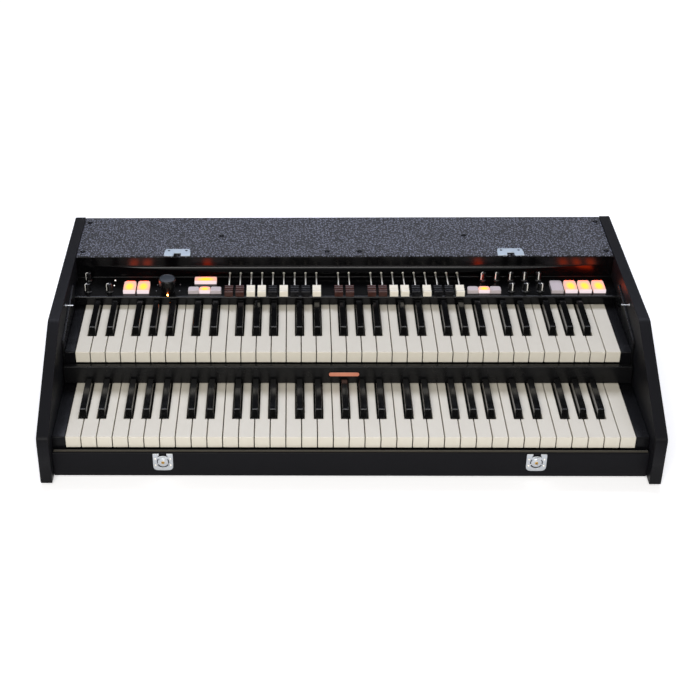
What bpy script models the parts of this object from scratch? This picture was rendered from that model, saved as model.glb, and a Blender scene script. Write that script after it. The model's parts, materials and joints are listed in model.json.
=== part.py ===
"""Two-manual drawbar organ: cabinet, keybeds, moulded key sets, drawbars, knobs and buttons.

Metres, +Z up. X runs along the keys, +Y points to the back, z = 0 is the underside of the feet.
"""
import bpy
import bmesh
import math
from mathutils import Matrix, Vector

# Fits
FIT = 0.0003
KEY_GAP = 0.0010
KEY_END_GAP = 0.0003

# Keys, the same on both manuals, measured from the lip backwards and from the natural tops
NATURAL_PITCH = 0.0235
OCTAVES = 5
SHARP_SLOT = 0.0143
HEAD_LENGTH = 0.0475
KEY_SHOWN = 0.1400
KEY_FRONT_HEIGHT = 0.0190
KEY_PLATE = 0.0070
KEY_SKIRT = 0.0040
KEY_EDGE = 0.0006
SHARP_FRONT_GAP = 0.0015
SHARP_BASE_WIDTH = 0.0118
SHARP_TOP_WIDTH = 0.0096
SHARP_RISE = 0.0120
SHARP_ROOT = 0.0080
SHARP_SLOPE = 0.0070
SHARP_EDGE = 0.0010

# Rear webs that join the keys of one set, stacked one below the other
TAIL_TO_WEB = 0.0420
WEB_DEPTH = 0.0100
WEB_THICKNESS = 0.0070
WEB_PITCH = 0.0095
WEB_DROP = 0.0045
ARM_THICKNESS = 0.0042
ARM_WIDTH = 0.0080
ARM_ROOT = 0.0040
PIN_RADIUS = 0.0020
PIN_LENGTH = 0.0070
PIN_CLEARANCE = 0.0003
KEY_DIP_DEG = 3.2
DIP_CLEARANCE = 0.0070

# Cabinet
FOOT_RISE = 0.0040
FOOT_RADIUS = 0.0130
FOOT_INSET = 0.0450
BOARD = 0.0180
TOP_BOARD = 0.0150
BOTTOM_BOARD = 0.0140
BACK_PANEL = 0.0060
BACK_PANEL_INSET = 0.0010
CABINET_DEPTH = 0.5280
CHEEK_FRONT_HEIGHT = 0.0800
CHEEK_SLOPE_RUN = 0.1850
CHEEK_OUTER_EDGE = 0.0050
CHEEK_CORNER = 0.0030
CHEEK_INNER_EDGE = 0.0012
TOP_SINK = 0.0020
TOP_EDGE = 0.0012
RAIL_SETBACK = 0.0200
RAIL_HEIGHT = 0.0410
RAIL_LIP = 0.0070
RAIL_EDGE = 0.0025
RAIL_TO_KEYS_Y = 0.0107
RAIL_TO_KEYS_Z = 0.0025
LATCH_X = 0.2750
LATCH_WIDTH = 0.0310
LATCH_HEIGHT = 0.0300
LATCH_CORNER = 0.0080
LATCH_PLATE = 0.0015
LATCH_DISC_RADIUS = 0.0065
LATCH_DISC_RISE = 0.0012
LATCH_FOOT = 0.0090
CATCH_WIDTH = 0.0435
CATCH_DEPTH = 0.0240
CATCH_PLATE = 0.0015
CATCH_NOTCH_WIDTH = 0.0120
CATCH_NOTCH_DEPTH = 0.0090
SUNK = 0.0010

# Sockets in the back panel, all blind
INLET_WIDTH = 0.0280
INLET_HEIGHT = 0.0200
INLET_X = -0.3600
SOCKET_RADIUS = 0.0050
SOCKET_FIRST_X = 0.1600
SOCKET_PITCH = 0.0300
SOCKET_COUNT = 6
SOCKET_Z = 0.0600
SOCKET_DEPTH = 0.0040

# Keybeds
END_BLOCK = 0.0189
END_BLOCK_BEHIND_PIVOT = 0.0100
BED_SHEET = 0.0040
BED_CLEAR_BELOW = 0.0020
UPPER_BED_BELOW_KEYS = 0.0455
STOP_FRONT = 0.0350
STOP_DEPTH = 0.0080
STOP_FELT = 0.0010
REAR_WALL_BELOW_TOPS = 0.0020
LEDGE_DEPTH = 0.0100
LEDGE_STEP = 0.0050
LEDGE_RISER = 0.0030
LEDGE_BELOW_KEYS = 0.0260
RISER_BELOW_KEYS = 0.0205
FASCIA_GAP = 0.0033
END_PLATE = 0.0030
END_PLATE_SETBACK = 0.0020
END_PLATE_BELOW_BOARD = 0.0010

# Control panel
PANEL_OVER_KEYS = 0.0170
PANEL_LIP_CLEARANCE = 0.0022
PANEL_SHEET = 0.0030
PANEL_WALL = 0.0240
PANEL_FLANGE = 0.0016
FLANGE_PROUD = 0.0010
TOP_OVERHANG = 0.0030
CONTROLS_X = 0.0

# Drawbars
DRAWBAR_PITCH = 0.0179
DRAWBAR_GROUPS = (9, 2, 9)
DRAWBAR_COLOURS = (
    "brown brown white white black white black black white",
    "brown brown",
    "brown brown white white black white black black white",
)
CAP_WIDTH = 0.0143
CAP_DEPTH = 0.0220
CAP_HEIGHT = 0.0098
CAP_DISH = 0.0012
CAP_RIM = 0.0030
CAP_RIDGE = 0.0030
CAP_EDGE = 0.0007
CAP_OVER_LIP = 0.0010
CAP_CLEARANCE = 0.0005
ROD_RADIUS = 0.0015
ROD_HEIGHT = 0.0070
ROD_INSIDE_CAP = 0.0050
ROD_BEHIND_WALL = 0.0200
ROD_HOLE_CLEARANCE = 0.0004
DRAWBAR_TRAVEL = 0.0400
CAP_STOP_GAP = 0.0070

# Knobs: name, distance from the controls' centre, distance from the panel's front edge
KNOB_ROW_FRONT = 0.0170
KNOB_ROW_BACK = 0.0530
SMALL_KNOBS = (
    ("knob_left_back", -0.4222, KNOB_ROW_BACK),
    ("knob_left_front_1", -0.4195, KNOB_ROW_FRONT),
    ("knob_left_front_2", -0.3840, KNOB_ROW_FRONT),
    ("knob_right_back_1", 0.2295, KNOB_ROW_BACK),
    ("knob_right_back_2", 0.2522, KNOB_ROW_BACK),
    ("knob_right_back_3", 0.2749, KNOB_ROW_BACK),
    ("knob_right_back_4", 0.2976, KNOB_ROW_BACK),
    ("knob_right_back_5", 0.3203, KNOB_ROW_BACK),
    ("knob_right_front_1", 0.2724, KNOB_ROW_FRONT),
    ("knob_right_front_2", 0.2957, KNOB_ROW_FRONT),
    ("knob_right_front_3", 0.3190, KNOB_ROW_FRONT),
)
KNOB_RADIUS = 0.0050
KNOB_HEIGHT = 0.0160
KNOB_FLANGE_RADIUS = 0.0065
KNOB_FLANGE = 0.0020
SELECTOR_RADIUS = 0.0140
SELECTOR_BASE_RADIUS = 0.0105
SELECTOR_HEIGHT = 0.0250
SELECTOR_TO_TRIO = 0.0196
SELECTOR_TO_TABS = 0.0168
SHAFT_RADIUS = 0.0030
SHAFT_HOLE_CLEARANCE = 0.0004

# Buttons
BUTTON_TRAVEL = 0.0025
BUTTON_PRESSED_RISE = 0.0035
BUTTON_ROOT = 0.0045
BUTTON_EDGE = 0.0010
BUTTON_SEAT = 0.0004
BUTTON_SPACING = 0.0032
TAB_WIDTH = 0.0195
TAB_DEPTH = 0.0320
TAB_FRONT = 0.0100
TAB_CORNER = 0.0040
TAB_LEFT_COUNT = 2
TAB_RIGHT_X = 0.3803
TAB_RIGHT_COUNT = 4
TRIO_WIDTH = 0.0176
TRIO_DEPTH = 0.0135
TRIO_FRONT = 0.0100
TRIO_CORNER = 0.0045
TRIO_SPACING = 0.0006
TRIO_LEFT_X = -0.2277
TRIO_RIGHT_X = 0.2277
TRIO_COUNT = 3
WIDE_WIDTH = 0.0362
WIDE_DEPTH = 0.0150
WIDE_FRONT = 0.0410
WIDE_CORNER = 0.0020

# Facets
SMALL_ROUND = 8
SMALL_KNOB_SIDES = 12
SELECTOR_SIDES = 16
FOOT_SIDES = 12
ARC_STEPS = 3
EDGE_STEPS = 2

# Places worked out from the sizes above
NATURALS = OCTAVES * 7 + 1
KEY_SPAN = NATURALS * NATURAL_PITCH
BLOCK_INNER = KEY_SPAN / 2 + KEY_END_GAP
INNER_HALF = BLOCK_INNER + END_BLOCK + FIT
OUTER_HALF = INNER_HALF + BOARD
FITTED_HALF = INNER_HALF - FIT
FRONT_Y = -CABINET_DEPTH / 2
BACK_Y = CABINET_DEPTH / 2
CHEEK_BOTTOM = FOOT_RISE
RAIL_FRONT = FRONT_Y + RAIL_SETBACK
RAIL_BACK = RAIL_FRONT + BOARD
RAIL_TOP = CHEEK_BOTTOM + RAIL_HEIGHT
BED_FLOOR = CHEEK_BOTTOM + BOTTOM_BOARD
LOWER_LIP = RAIL_FRONT + RAIL_TO_KEYS_Y
LOWER_TOP = RAIL_TOP + RAIL_TO_KEYS_Z + KEY_FRONT_HEIGHT
MANUAL_SETBACK = KEY_SHOWN + FASCIA_GAP + LEDGE_DEPTH
MANUAL_RISE = BED_CLEAR_BELOW + BED_SHEET + UPPER_BED_BELOW_KEYS
UPPER_LIP = LOWER_LIP + MANUAL_SETBACK
UPPER_TOP = LOWER_TOP + MANUAL_RISE
FASCIA_FRONT = UPPER_LIP - LEDGE_DEPTH
PANEL_FRONT = UPPER_LIP + KEY_SHOWN
PANEL_TOP = UPPER_TOP + PANEL_OVER_KEYS
CAP_FRONT = PANEL_FRONT - CAP_OVER_LIP
CAP_BACK = CAP_FRONT + CAP_DEPTH
WALL_FRONT = CAP_BACK + DRAWBAR_TRAVEL + CAP_STOP_GAP
TOP_BOARD_BOTTOM = PANEL_TOP + PANEL_WALL
TOP_BOARD_TOP = TOP_BOARD_BOTTOM + TOP_BOARD
CHEEK_TOP = TOP_BOARD_TOP + TOP_SINK
TOP_BOARD_FRONT = WALL_FRONT - TOP_OVERHANG
BACK_PANEL_BACK = BACK_Y - BACK_PANEL_INSET
BACK_PANEL_FRONT = BACK_PANEL_BACK - BACK_PANEL
WEB_FRONT = KEY_SHOWN + TAIL_TO_WEB
PIVOT_BACK = WEB_FRONT + WEB_DEPTH / 2
BLOCK_LENGTH = PIVOT_BACK + END_BLOCK_BEHIND_PIVOT
KEY_DIP = PIVOT_BACK * math.sin(math.radians(KEY_DIP_DEG))
STOP_DIP = (PIVOT_BACK - STOP_FRONT) * math.sin(math.radians(KEY_DIP_DEG))
STOP_BELOW_TOPS = KEY_PLATE + STOP_DIP + STOP_FELT
RAIL_REBATE = LOWER_TOP - KEY_FRONT_HEIGHT - KEY_DIP - DIP_CLEARANCE
BUTTON_RISE = BUTTON_TRAVEL + BUTTON_PRESSED_RISE
TRIO_HALF = (TRIO_COUNT * TRIO_WIDTH + (TRIO_COUNT - 1) * TRIO_SPACING) / 2
TAB_LEFT_HALF = (TAB_LEFT_COUNT * TAB_WIDTH + (TAB_LEFT_COUNT - 1) * BUTTON_SPACING) / 2
SELECTOR_X = TRIO_LEFT_X - TRIO_HALF - SELECTOR_TO_TRIO - SELECTOR_RADIUS
TAB_LEFT_X = SELECTOR_X - SELECTOR_RADIUS - SELECTOR_TO_TABS - TAB_LEFT_HALF
PIN_HOLE_RADIUS = (PIN_RADIUS + PIN_CLEARANCE) / math.cos(math.pi / SMALL_ROUND)

# Planes that an outline is drawn in, each with its extrusion along the third axis
ALONG_X = Matrix(((0, 0, 1, 0), (1, 0, 0, 0), (0, 1, 0, 0), (0, 0, 0, 1)))
ALONG_Y = Matrix(((1, 0, 0, 0), (0, 0, -1, 0), (0, 1, 0, 0), (0, 0, 0, 1)))
ALONG_Z = Matrix.Identity(4)

for leftover in list(bpy.data.objects):
    bpy.data.objects.remove(leftover, do_unlink=True)

PARTS = bpy.data.collections.new("drawbar_organ")
TOOLS = bpy.data.collections.new("cutters_and_joined_shapes")
bpy.context.scene.collection.children.link(PARTS)
bpy.context.scene.collection.children.link(TOOLS)


def material(name, colour, roughness, metallic=0.0):
    """Principled material in the photographed colour."""
    result = bpy.data.materials.new(name)
    result.use_nodes = True
    shader = result.node_tree.nodes["Principled BSDF"]
    shader.inputs["Base Color"].default_value = (*colour, 1.0)
    shader.inputs["Roughness"].default_value = roughness
    shader.inputs["Metallic"].default_value = metallic
    return result


PAINT = material("pebbled_black_paint", (0.030, 0.031, 0.036), 0.55)
BOARD_BLACK = material("black_board", (0.020, 0.020, 0.022), 0.7)
GLOSS = material("gloss_black_panel", (0.008, 0.008, 0.009), 0.12)
CHASSIS = material("black_chassis", (0.015, 0.015, 0.016), 0.4)
IVORY = material("ivory_key_plastic", (0.68, 0.63, 0.54), 0.3)
EBONY = material("black_key_plastic", (0.012, 0.012, 0.013), 0.15)
KNOB_BLACK = material("black_knob_plastic", (0.014, 0.014, 0.015), 0.35)
LIT_YELLOW = material("lit_yellow_lens", (0.95, 0.75, 0.25), 0.3)
UNLIT_WHITE = material("unlit_white_lens", (0.62, 0.60, 0.60), 0.3)
CAP_COLOURS = {
    "brown": material("brown_cap_plastic", (0.075, 0.025, 0.018), 0.3),
    "white": material("white_cap_plastic", (0.80, 0.76, 0.68), 0.3),
    "black": material("black_cap_plastic", (0.012, 0.012, 0.013), 0.3),
}


def mesh_from(bm, name):
    """Turn a bmesh into a mesh with its faces pointing out."""
    bmesh.ops.recalc_face_normals(bm, faces=bm.faces)
    mesh = bpy.data.meshes.new(name)
    bm.to_mesh(mesh)
    bm.free()
    return mesh


def outline(name, points, low, high, frame):
    """Extrude a flat outline from low to high along the frame's third axis."""
    curve = bpy.data.curves.new(name, "CURVE")
    curve.dimensions = "2D"
    curve.fill_mode = "BOTH"
    curve.extrude = (high - low) / 2
    spline = curve.splines.new("POLY")
    spline.points.add(len(points) - 1)
    for point, (across, up) in zip(spline.points, points):
        point.co = (across, up, 0, 1)
    spline.use_cyclic_u = True
    holder = bpy.data.objects.new(name, curve)
    bpy.context.scene.collection.objects.link(holder)
    graph = bpy.context.evaluated_depsgraph_get()
    mesh = bpy.data.meshes.new_from_object(holder.evaluated_get(graph))
    bpy.data.objects.remove(holder)
    bpy.data.curves.remove(curve)
    bm = bmesh.new()
    bm.from_mesh(mesh)
    bpy.data.meshes.remove(mesh)
    bmesh.ops.remove_doubles(bm, verts=bm.verts, dist=0.00001)
    middle = (low + high) / 2
    bm.transform(frame @ Matrix.Translation((0, 0, middle)))
    return mesh_from(bm, name)


def box(name, low, high):
    """Box between two corners."""
    bm = bmesh.new()
    bmesh.ops.create_cube(bm, size=1)
    low, high = Vector(low), Vector(high)
    bm.transform(Matrix.Translation((low + high) / 2) @ Matrix.Diagonal((high - low).to_4d()))
    return mesh_from(bm, name)


def cylinder(name, start, end, radius, sides):
    """Closed cylinder between two points, with a flat turned down or forwards."""
    start, end = Vector(start), Vector(end)
    run = end - start
    bm = bmesh.new()
    bmesh.ops.create_cone(bm, cap_ends=True, segments=sides, radius1=radius, radius2=radius,
                          depth=run.length)
    turn = run.to_track_quat("Z", "Y").to_matrix().to_4x4()
    flat = Matrix.Rotation(math.pi / sides, 4, "Z")
    bm.transform(Matrix.Translation((start + end) / 2) @ turn @ flat)
    return mesh_from(bm, name)


def gathered(name, meshes):
    """Put several meshes that do not touch into one mesh."""
    bm = bmesh.new()
    for mesh in meshes:
        bm.from_mesh(mesh)
        bpy.data.meshes.remove(mesh)
    return mesh_from(bm, name)


def arc(centre, radius, start_deg, end_deg):
    """Points of an arc, both ends included."""
    points = []
    for step in range(ARC_STEPS + 1):
        angle = math.radians(start_deg + (end_deg - start_deg) * step / ARC_STEPS)
        points.append((centre[0] + radius * math.cos(angle), centre[1] + radius * math.sin(angle)))
    return points


def node(name, mesh, surface, origin=(0, 0, 0)):
    """Named piece whose origin lies on its joint's axis."""
    origin = Vector(origin)
    mesh.transform(Matrix.Translation(-origin))
    mesh.materials.append(surface)
    result = bpy.data.objects.new(name, mesh)
    result.location = origin
    PARTS.objects.link(result)
    return result


def boolean(target, mesh, operation):
    """Cut or join a mesh with a live Boolean; its tool object stays out of the model."""
    tool = bpy.data.objects.new(mesh.name, mesh)
    tool.hide_render = True
    tool.display_type = "WIRE"
    TOOLS.objects.link(tool)
    modifier = target.modifiers.new(mesh.name, "BOOLEAN")
    modifier.operation = operation
    modifier.object = tool


def cut(target, mesh):
    boolean(target, mesh, "DIFFERENCE")


def join(target, mesh):
    boolean(target, mesh, "UNION")


def round_edges(target, width, steps=1):
    """Bevel every edge sharper than the flat facets around it."""
    bevel = target.modifiers.new("rounded_edges", "BEVEL")
    bevel.width = width
    bevel.segments = steps
    bevel.limit_method = "ANGLE"
    bevel.angle_limit = math.radians(40)


def chamfer_top(mesh, width, level):
    """Chamfer the edges around a flat top at the given height."""
    bm = bmesh.new()
    bm.from_mesh(mesh)
    rim = []
    for edge in bm.edges:
        on_top = all(abs(corner.co.z - level) < 0.00001 for corner in edge.verts)
        if on_top and edge.calc_face_angle(0) > math.radians(40):
            rim.append(edge)
    bmesh.ops.bevel(bm, geom=rim, offset=width, segments=1, affect="EDGES", profile=0.5)
    bm.to_mesh(mesh)
    bm.free()
    return mesh


# Cabinet

def cheek(name, inner, outer):
    """Side board with its sloped front corner, rounded most along its outer side."""
    slope_end = FRONT_Y + CHEEK_SLOPE_RUN
    profile = [(FRONT_Y, CHEEK_BOTTOM), (BACK_Y, CHEEK_BOTTOM), (BACK_Y, CHEEK_TOP),
               (slope_end, CHEEK_TOP), (FRONT_Y, CHEEK_BOTTOM + CHEEK_FRONT_HEIGHT)]
    bm = bmesh.new()
    bm.from_mesh(outline(name, profile, inner, outer, ALONG_X))
    weights = bm.edges.layers.float.new("bevel_weight_edge")
    for edge in bm.edges:
        if edge.calc_face_angle(0) > math.radians(40):
            on_outside = [abs(corner.co.x) > INNER_HALF + BOARD / 2 for corner in edge.verts]
            if all(on_outside):
                width = CHEEK_OUTER_EDGE
            elif any(on_outside):
                width = CHEEK_CORNER
            else:
                width = CHEEK_INNER_EDGE
            edge[weights] = width / CHEEK_OUTER_EDGE
    board = node(name, mesh_from(bm, name), PAINT)
    round_edges(board, CHEEK_OUTER_EDGE, EDGE_STEPS)
    board.modifiers["rounded_edges"].limit_method = "WEIGHT"


def bottom_board():
    """Floor of the cabinet with its four rubber feet."""
    board = node("bottom_board", box("bottom_board", (-FITTED_HALF, RAIL_BACK + FIT, CHEEK_BOTTOM),
                                     (FITTED_HALF, BACK_PANEL_FRONT - FIT, BED_FLOOR)), BOARD_BLACK)
    feet = []
    for side in (-1, 1):
        for place in (RAIL_BACK + FOOT_INSET, BACK_PANEL_FRONT - FOOT_INSET):
            across = side * (FITTED_HALF - FOOT_INSET)
            feet.append(cylinder("foot", (across, place, 0), (across, place, BED_FLOOR - SUNK),
                                 FOOT_RADIUS, FOOT_SIDES))
    join(board, gathered("feet", feet))


def back_panel():
    """Back board with a power inlet and a row of audio sockets, all blind."""
    board = node("back_panel", box("back_panel", (-FITTED_HALF, BACK_PANEL_FRONT, CHEEK_BOTTOM),
                                   (FITTED_HALF, BACK_PANEL_BACK, TOP_BOARD_BOTTOM - FIT)),
                 BOARD_BLACK)
    pocket = BACK_PANEL_BACK - SOCKET_DEPTH
    sockets = [box("inlet", (INLET_X - INLET_WIDTH / 2, pocket, SOCKET_Z - INLET_HEIGHT / 2),
                   (INLET_X + INLET_WIDTH / 2, BACK_Y, SOCKET_Z + INLET_HEIGHT / 2))]
    for number in range(SOCKET_COUNT):
        across = SOCKET_FIRST_X + number * SOCKET_PITCH
        sockets.append(cylinder("socket", (across, pocket, SOCKET_Z), (across, BACK_Y, SOCKET_Z),
                                SOCKET_RADIUS, SMALL_KNOB_SIDES))
    cut(board, gathered("sockets", sockets))


def top_board():
    """Top board with a notched catch plate near each end of its front edge."""
    board = node("top_board", box("top_board", (-FITTED_HALF, TOP_BOARD_FRONT, TOP_BOARD_BOTTOM),
                                  (FITTED_HALF, BACK_Y, TOP_BOARD_TOP)), PAINT)
    round_edges(board, TOP_EDGE)
    plates = []
    notches = []
    for side in (-1, 1):
        middle = side * LATCH_X
        plates.append(box("catch_plate",
                          (middle - CATCH_WIDTH / 2, TOP_BOARD_FRONT - CATCH_PLATE / 2,
                           TOP_BOARD_TOP - SUNK),
                          (middle + CATCH_WIDTH / 2, TOP_BOARD_FRONT + CATCH_DEPTH,
                           TOP_BOARD_TOP + CATCH_PLATE)))
        notches.append(box("catch_notch",
                           (middle - CATCH_NOTCH_WIDTH / 2, TOP_BOARD_FRONT - BOARD,
                            TOP_BOARD_BOTTOM - SUNK),
                           (middle + CATCH_NOTCH_WIDTH / 2, TOP_BOARD_FRONT + CATCH_NOTCH_DEPTH,
                            TOP_BOARD_TOP + BOARD)))
    join(board, gathered("catch_plates", plates))
    cut(board, gathered("catch_notches", notches))


def front_rail():
    """Front board, rebated behind its top edge so that the keys can dip, with two latch plates."""
    profile = [(RAIL_BACK, CHEEK_BOTTOM), (RAIL_BACK, RAIL_REBATE),
               (RAIL_FRONT + RAIL_LIP, RAIL_REBATE), (RAIL_FRONT + RAIL_LIP, RAIL_TOP)]
    profile += arc((RAIL_FRONT + RAIL_EDGE, RAIL_TOP - RAIL_EDGE), RAIL_EDGE, 90, 180)
    profile += arc((RAIL_FRONT + RAIL_EDGE, CHEEK_BOTTOM + RAIL_EDGE), RAIL_EDGE, 180, 270)
    rail = node("front_rail", outline("front_rail", profile, -FITTED_HALF, FITTED_HALF, ALONG_X),
                PAINT)
    foot = CHEEK_BOTTOM + LATCH_FOOT
    plates = []
    discs = []
    for side in (-1, 1):
        middle = side * LATCH_X
        half = LATCH_WIDTH / 2
        corner = (middle + half - LATCH_CORNER, foot + LATCH_CORNER)
        shape = [(middle + half, foot + LATCH_HEIGHT), (middle - half, foot + LATCH_HEIGHT)]
        shape += arc((2 * middle - corner[0], corner[1]), LATCH_CORNER, 180, 270)
        shape += arc(corner, LATCH_CORNER, 270, 360)
        plates.append(outline("latch_plate", shape, -(RAIL_FRONT + SUNK),
                              -(RAIL_FRONT - LATCH_PLATE), ALONG_Y))
        height = foot + LATCH_HEIGHT / 2
        discs.append(cylinder("lock", (middle, RAIL_FRONT, height),
                              (middle, RAIL_FRONT - LATCH_PLATE - LATCH_DISC_RISE, height),
                              LATCH_DISC_RADIUS, SMALL_KNOB_SIDES))
    join(rail, gathered("latch_plates", plates))
    join(rail, gathered("latch_discs", discs))


# Keys

def key_plan():
    """Head and tail edges of every natural, and the middle of every sharp, from left to right."""
    naturals = []
    sharps = []
    left = -KEY_SPAN / 2
    for octave in range(OCTAVES):
        for letters in ("CDE", "FGAB"):
            count = len(letters)
            tail = (count * NATURAL_PITCH - (count - 1) * SHARP_SLOT) / count
            for number, letter in enumerate(letters):
                head = (left + number * NATURAL_PITCH + KEY_GAP / 2,
                        left + (number + 1) * NATURAL_PITCH - KEY_GAP / 2)
                tail_left = max(left + number * (tail + SHARP_SLOT), head[0])
                tail_right = min(left + number * (tail + SHARP_SLOT) + tail, head[1])
                naturals.append((letter, head, (tail_left, tail_right)))
                if number < count - 1:
                    sharps.append(tail_right + SHARP_SLOT / 2)
            left += count * NATURAL_PITCH
    head = (left + KEY_GAP / 2, left + NATURAL_PITCH - KEY_GAP / 2)
    naturals.append(("C", head, head))
    return naturals, sharps


def natural(head, tail, length, lip, top):
    """One waterfall natural, still full height along its whole length."""
    back = lip + length
    step = lip + HEAD_LENGTH
    points = [(head[0], lip), (head[1], lip)]
    if tail[1] < head[1]:
        points += [(head[1], step), (tail[1], step)]
    points += [(tail[1], back), (tail[0], back)]
    if tail[0] > head[0]:
        points += [(tail[0], step), (head[0], step)]
    mesh = outline("natural", points, top - KEY_FRONT_HEIGHT, top, ALONG_Z)
    return chamfer_top(mesh, KEY_EDGE, top)


def sharp(middle, lip, top):
    """One sharp: a drafted block with a sloped front and chamfered top."""
    front = lip + HEAD_LENGTH + SHARP_FRONT_GAP
    back = lip + KEY_SHOWN - SHARP_FRONT_GAP
    mesh = box("sharp", (middle - SHARP_BASE_WIDTH / 2, front, top - SHARP_ROOT),
               (middle + SHARP_BASE_WIDTH / 2, back, top + SHARP_RISE))
    for corner in mesh.vertices:
        if corner.co.z > top:
            side = math.copysign(SHARP_TOP_WIDTH / 2, corner.co.x - middle)
            corner.co.x = middle + side
            if corner.co.y < (front + back) / 2:
                corner.co.y += SHARP_SLOPE
    return chamfer_top(mesh, SHARP_EDGE, top + SHARP_RISE)


def key_arm(middle, width, start_back, lip, top, web_middle):
    """Sloping arm from the back of one key down to its set's web."""
    start = lip + start_back - ARM_ROOT
    end = lip + WEB_FRONT + SUNK
    high = top - KEY_PLATE / 2
    half = ARM_THICKNESS / 2
    profile = [(start, high - half), (end, web_middle - half), (end, web_middle + half),
               (start, high + half)]
    return outline("key_arm", profile, middle - width / 2, middle + width / 2, ALONG_X)


def web_height(top, level):
    """Middle of the web at one level of the stack, which is also its pivot's height."""
    return top - WEB_DROP - level * WEB_PITCH


def key_set(name, surface, keys, arms, lip, top, level, hollow):
    """Keys joined by their rear web, turning on a pin at each end."""
    pivot_y = lip + PIVOT_BACK
    pivot_z = web_height(top, level)
    piece = node(name, gathered(name, keys), surface, (0, pivot_y, pivot_z))
    if hollow:
        cut(piece, box(name + "_underside",
                       (-KEY_SPAN, lip + KEY_SKIRT, top - 3 * KEY_FRONT_HEIGHT),
                       (KEY_SPAN, lip + 2 * PIVOT_BACK, top - KEY_PLATE)))
    if arms:
        join(piece, gathered(name + "_arms", arms))
    half = BLOCK_INNER - 2 * KEY_END_GAP
    join(piece, box(name + "_web",
                    (-half, lip + WEB_FRONT, pivot_z - WEB_THICKNESS / 2),
                    (half, lip + WEB_FRONT + WEB_DEPTH, pivot_z + WEB_THICKNESS / 2)))
    pins = []
    for side in (-1, 1):
        pins.append(cylinder("pin", (side * (half - PIN_LENGTH), pivot_y, pivot_z),
                             (side * (half + PIN_LENGTH), pivot_y, pivot_z),
                             PIN_RADIUS, SMALL_ROUND))
    join(piece, gathered(name + "_pins", pins))


def manual(prefix, lip, top):
    """Three moulded key sets: C E G B, then D F A, then the sharps, on stacked rear webs."""
    naturals, sharps = key_plan()
    outer_keys = []
    inner_keys = []
    inner_arms = []
    short_tail = KEY_SHOWN + TAIL_TO_WEB * 2 / 3
    for letter, head, tail in naturals:
        if letter in "CEGB":
            outer_keys.append(natural(head, tail, WEB_FRONT + 2 * SUNK, lip, top))
        else:
            inner_keys.append(natural(head, tail, short_tail, lip, top))
            inner_arms.append(key_arm((tail[0] + tail[1]) / 2, ARM_WIDTH, short_tail, lip, top,
                                      web_height(top, 1)))
    sharp_keys = []
    sharp_arms = []
    for middle in sharps:
        sharp_keys.append(sharp(middle, lip, top))
        sharp_arms.append(key_arm(middle, ARM_WIDTH, KEY_SHOWN - SHARP_FRONT_GAP, lip, top,
                                  web_height(top, 2)))
    key_set(prefix + "_naturals_cegb", IVORY, outer_keys, None, lip, top, 0, True)
    key_set(prefix + "_naturals_dfa", IVORY, inner_keys, inner_arms, lip, top, 1, True)
    key_set(prefix + "_sharps", EBONY, sharp_keys, sharp_arms, lip, top, 2, False)


def pin_holes(lip, top):
    """Blind holes in both end blocks for the pins of the three key sets."""
    holes = []
    for side in (-1, 1):
        for level in range(3):
            height = web_height(top, level)
            holes.append(cylinder("pin_hole",
                                  (side * (BLOCK_INNER - SUNK), lip + PIVOT_BACK, height),
                                  (side * (BLOCK_INNER + PIN_LENGTH + SUNK), lip + PIVOT_BACK,
                                   height),
                                  PIN_HOLE_RADIUS, SMALL_ROUND))
    return gathered("pin_holes", holes)


def lower_keybed():
    """Chassis with a floor, a guide rail, a rear wall and an end block at each side."""
    floor = BED_FLOOR + FIT
    front = RAIL_BACK + FIT
    back = LOWER_LIP + BLOCK_LENGTH - FIT
    stop_front = LOWER_LIP + STOP_FRONT
    stop_top = LOWER_TOP - STOP_BELOW_TOPS
    profile = [(front, floor), (back, floor), (back, LOWER_TOP - REAR_WALL_BELOW_TOPS),
               (back - BED_SHEET, LOWER_TOP - REAR_WALL_BELOW_TOPS),
               (back - BED_SHEET, floor + BED_SHEET), (stop_front + STOP_DEPTH, floor + BED_SHEET),
               (stop_front + STOP_DEPTH, stop_top), (stop_front, stop_top),
               (stop_front, floor + BED_SHEET), (front, floor + BED_SHEET)]
    half = BLOCK_INNER + END_BLOCK / 2
    bed = node("lower_keybed", outline("lower_keybed", profile, -half, half, ALONG_X), CHASSIS)
    step = RAIL_REBATE + FIT
    block_floor = floor + SUNK
    shape = [(front + SUNK, block_floor), (back + FIT, block_floor), (back + FIT, LOWER_TOP),
             (LOWER_LIP, LOWER_TOP), (LOWER_LIP, step), (front + SUNK, step)]
    blocks = []
    for low, high in ((-FITTED_HALF, -BLOCK_INNER), (BLOCK_INNER, FITTED_HALF)):
        blocks.append(outline("lower_end_block", shape, low, high, ALONG_X))
    join(bed, gathered("lower_end_blocks", blocks))
    cut(bed, pin_holes(LOWER_LIP, LOWER_TOP))


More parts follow.
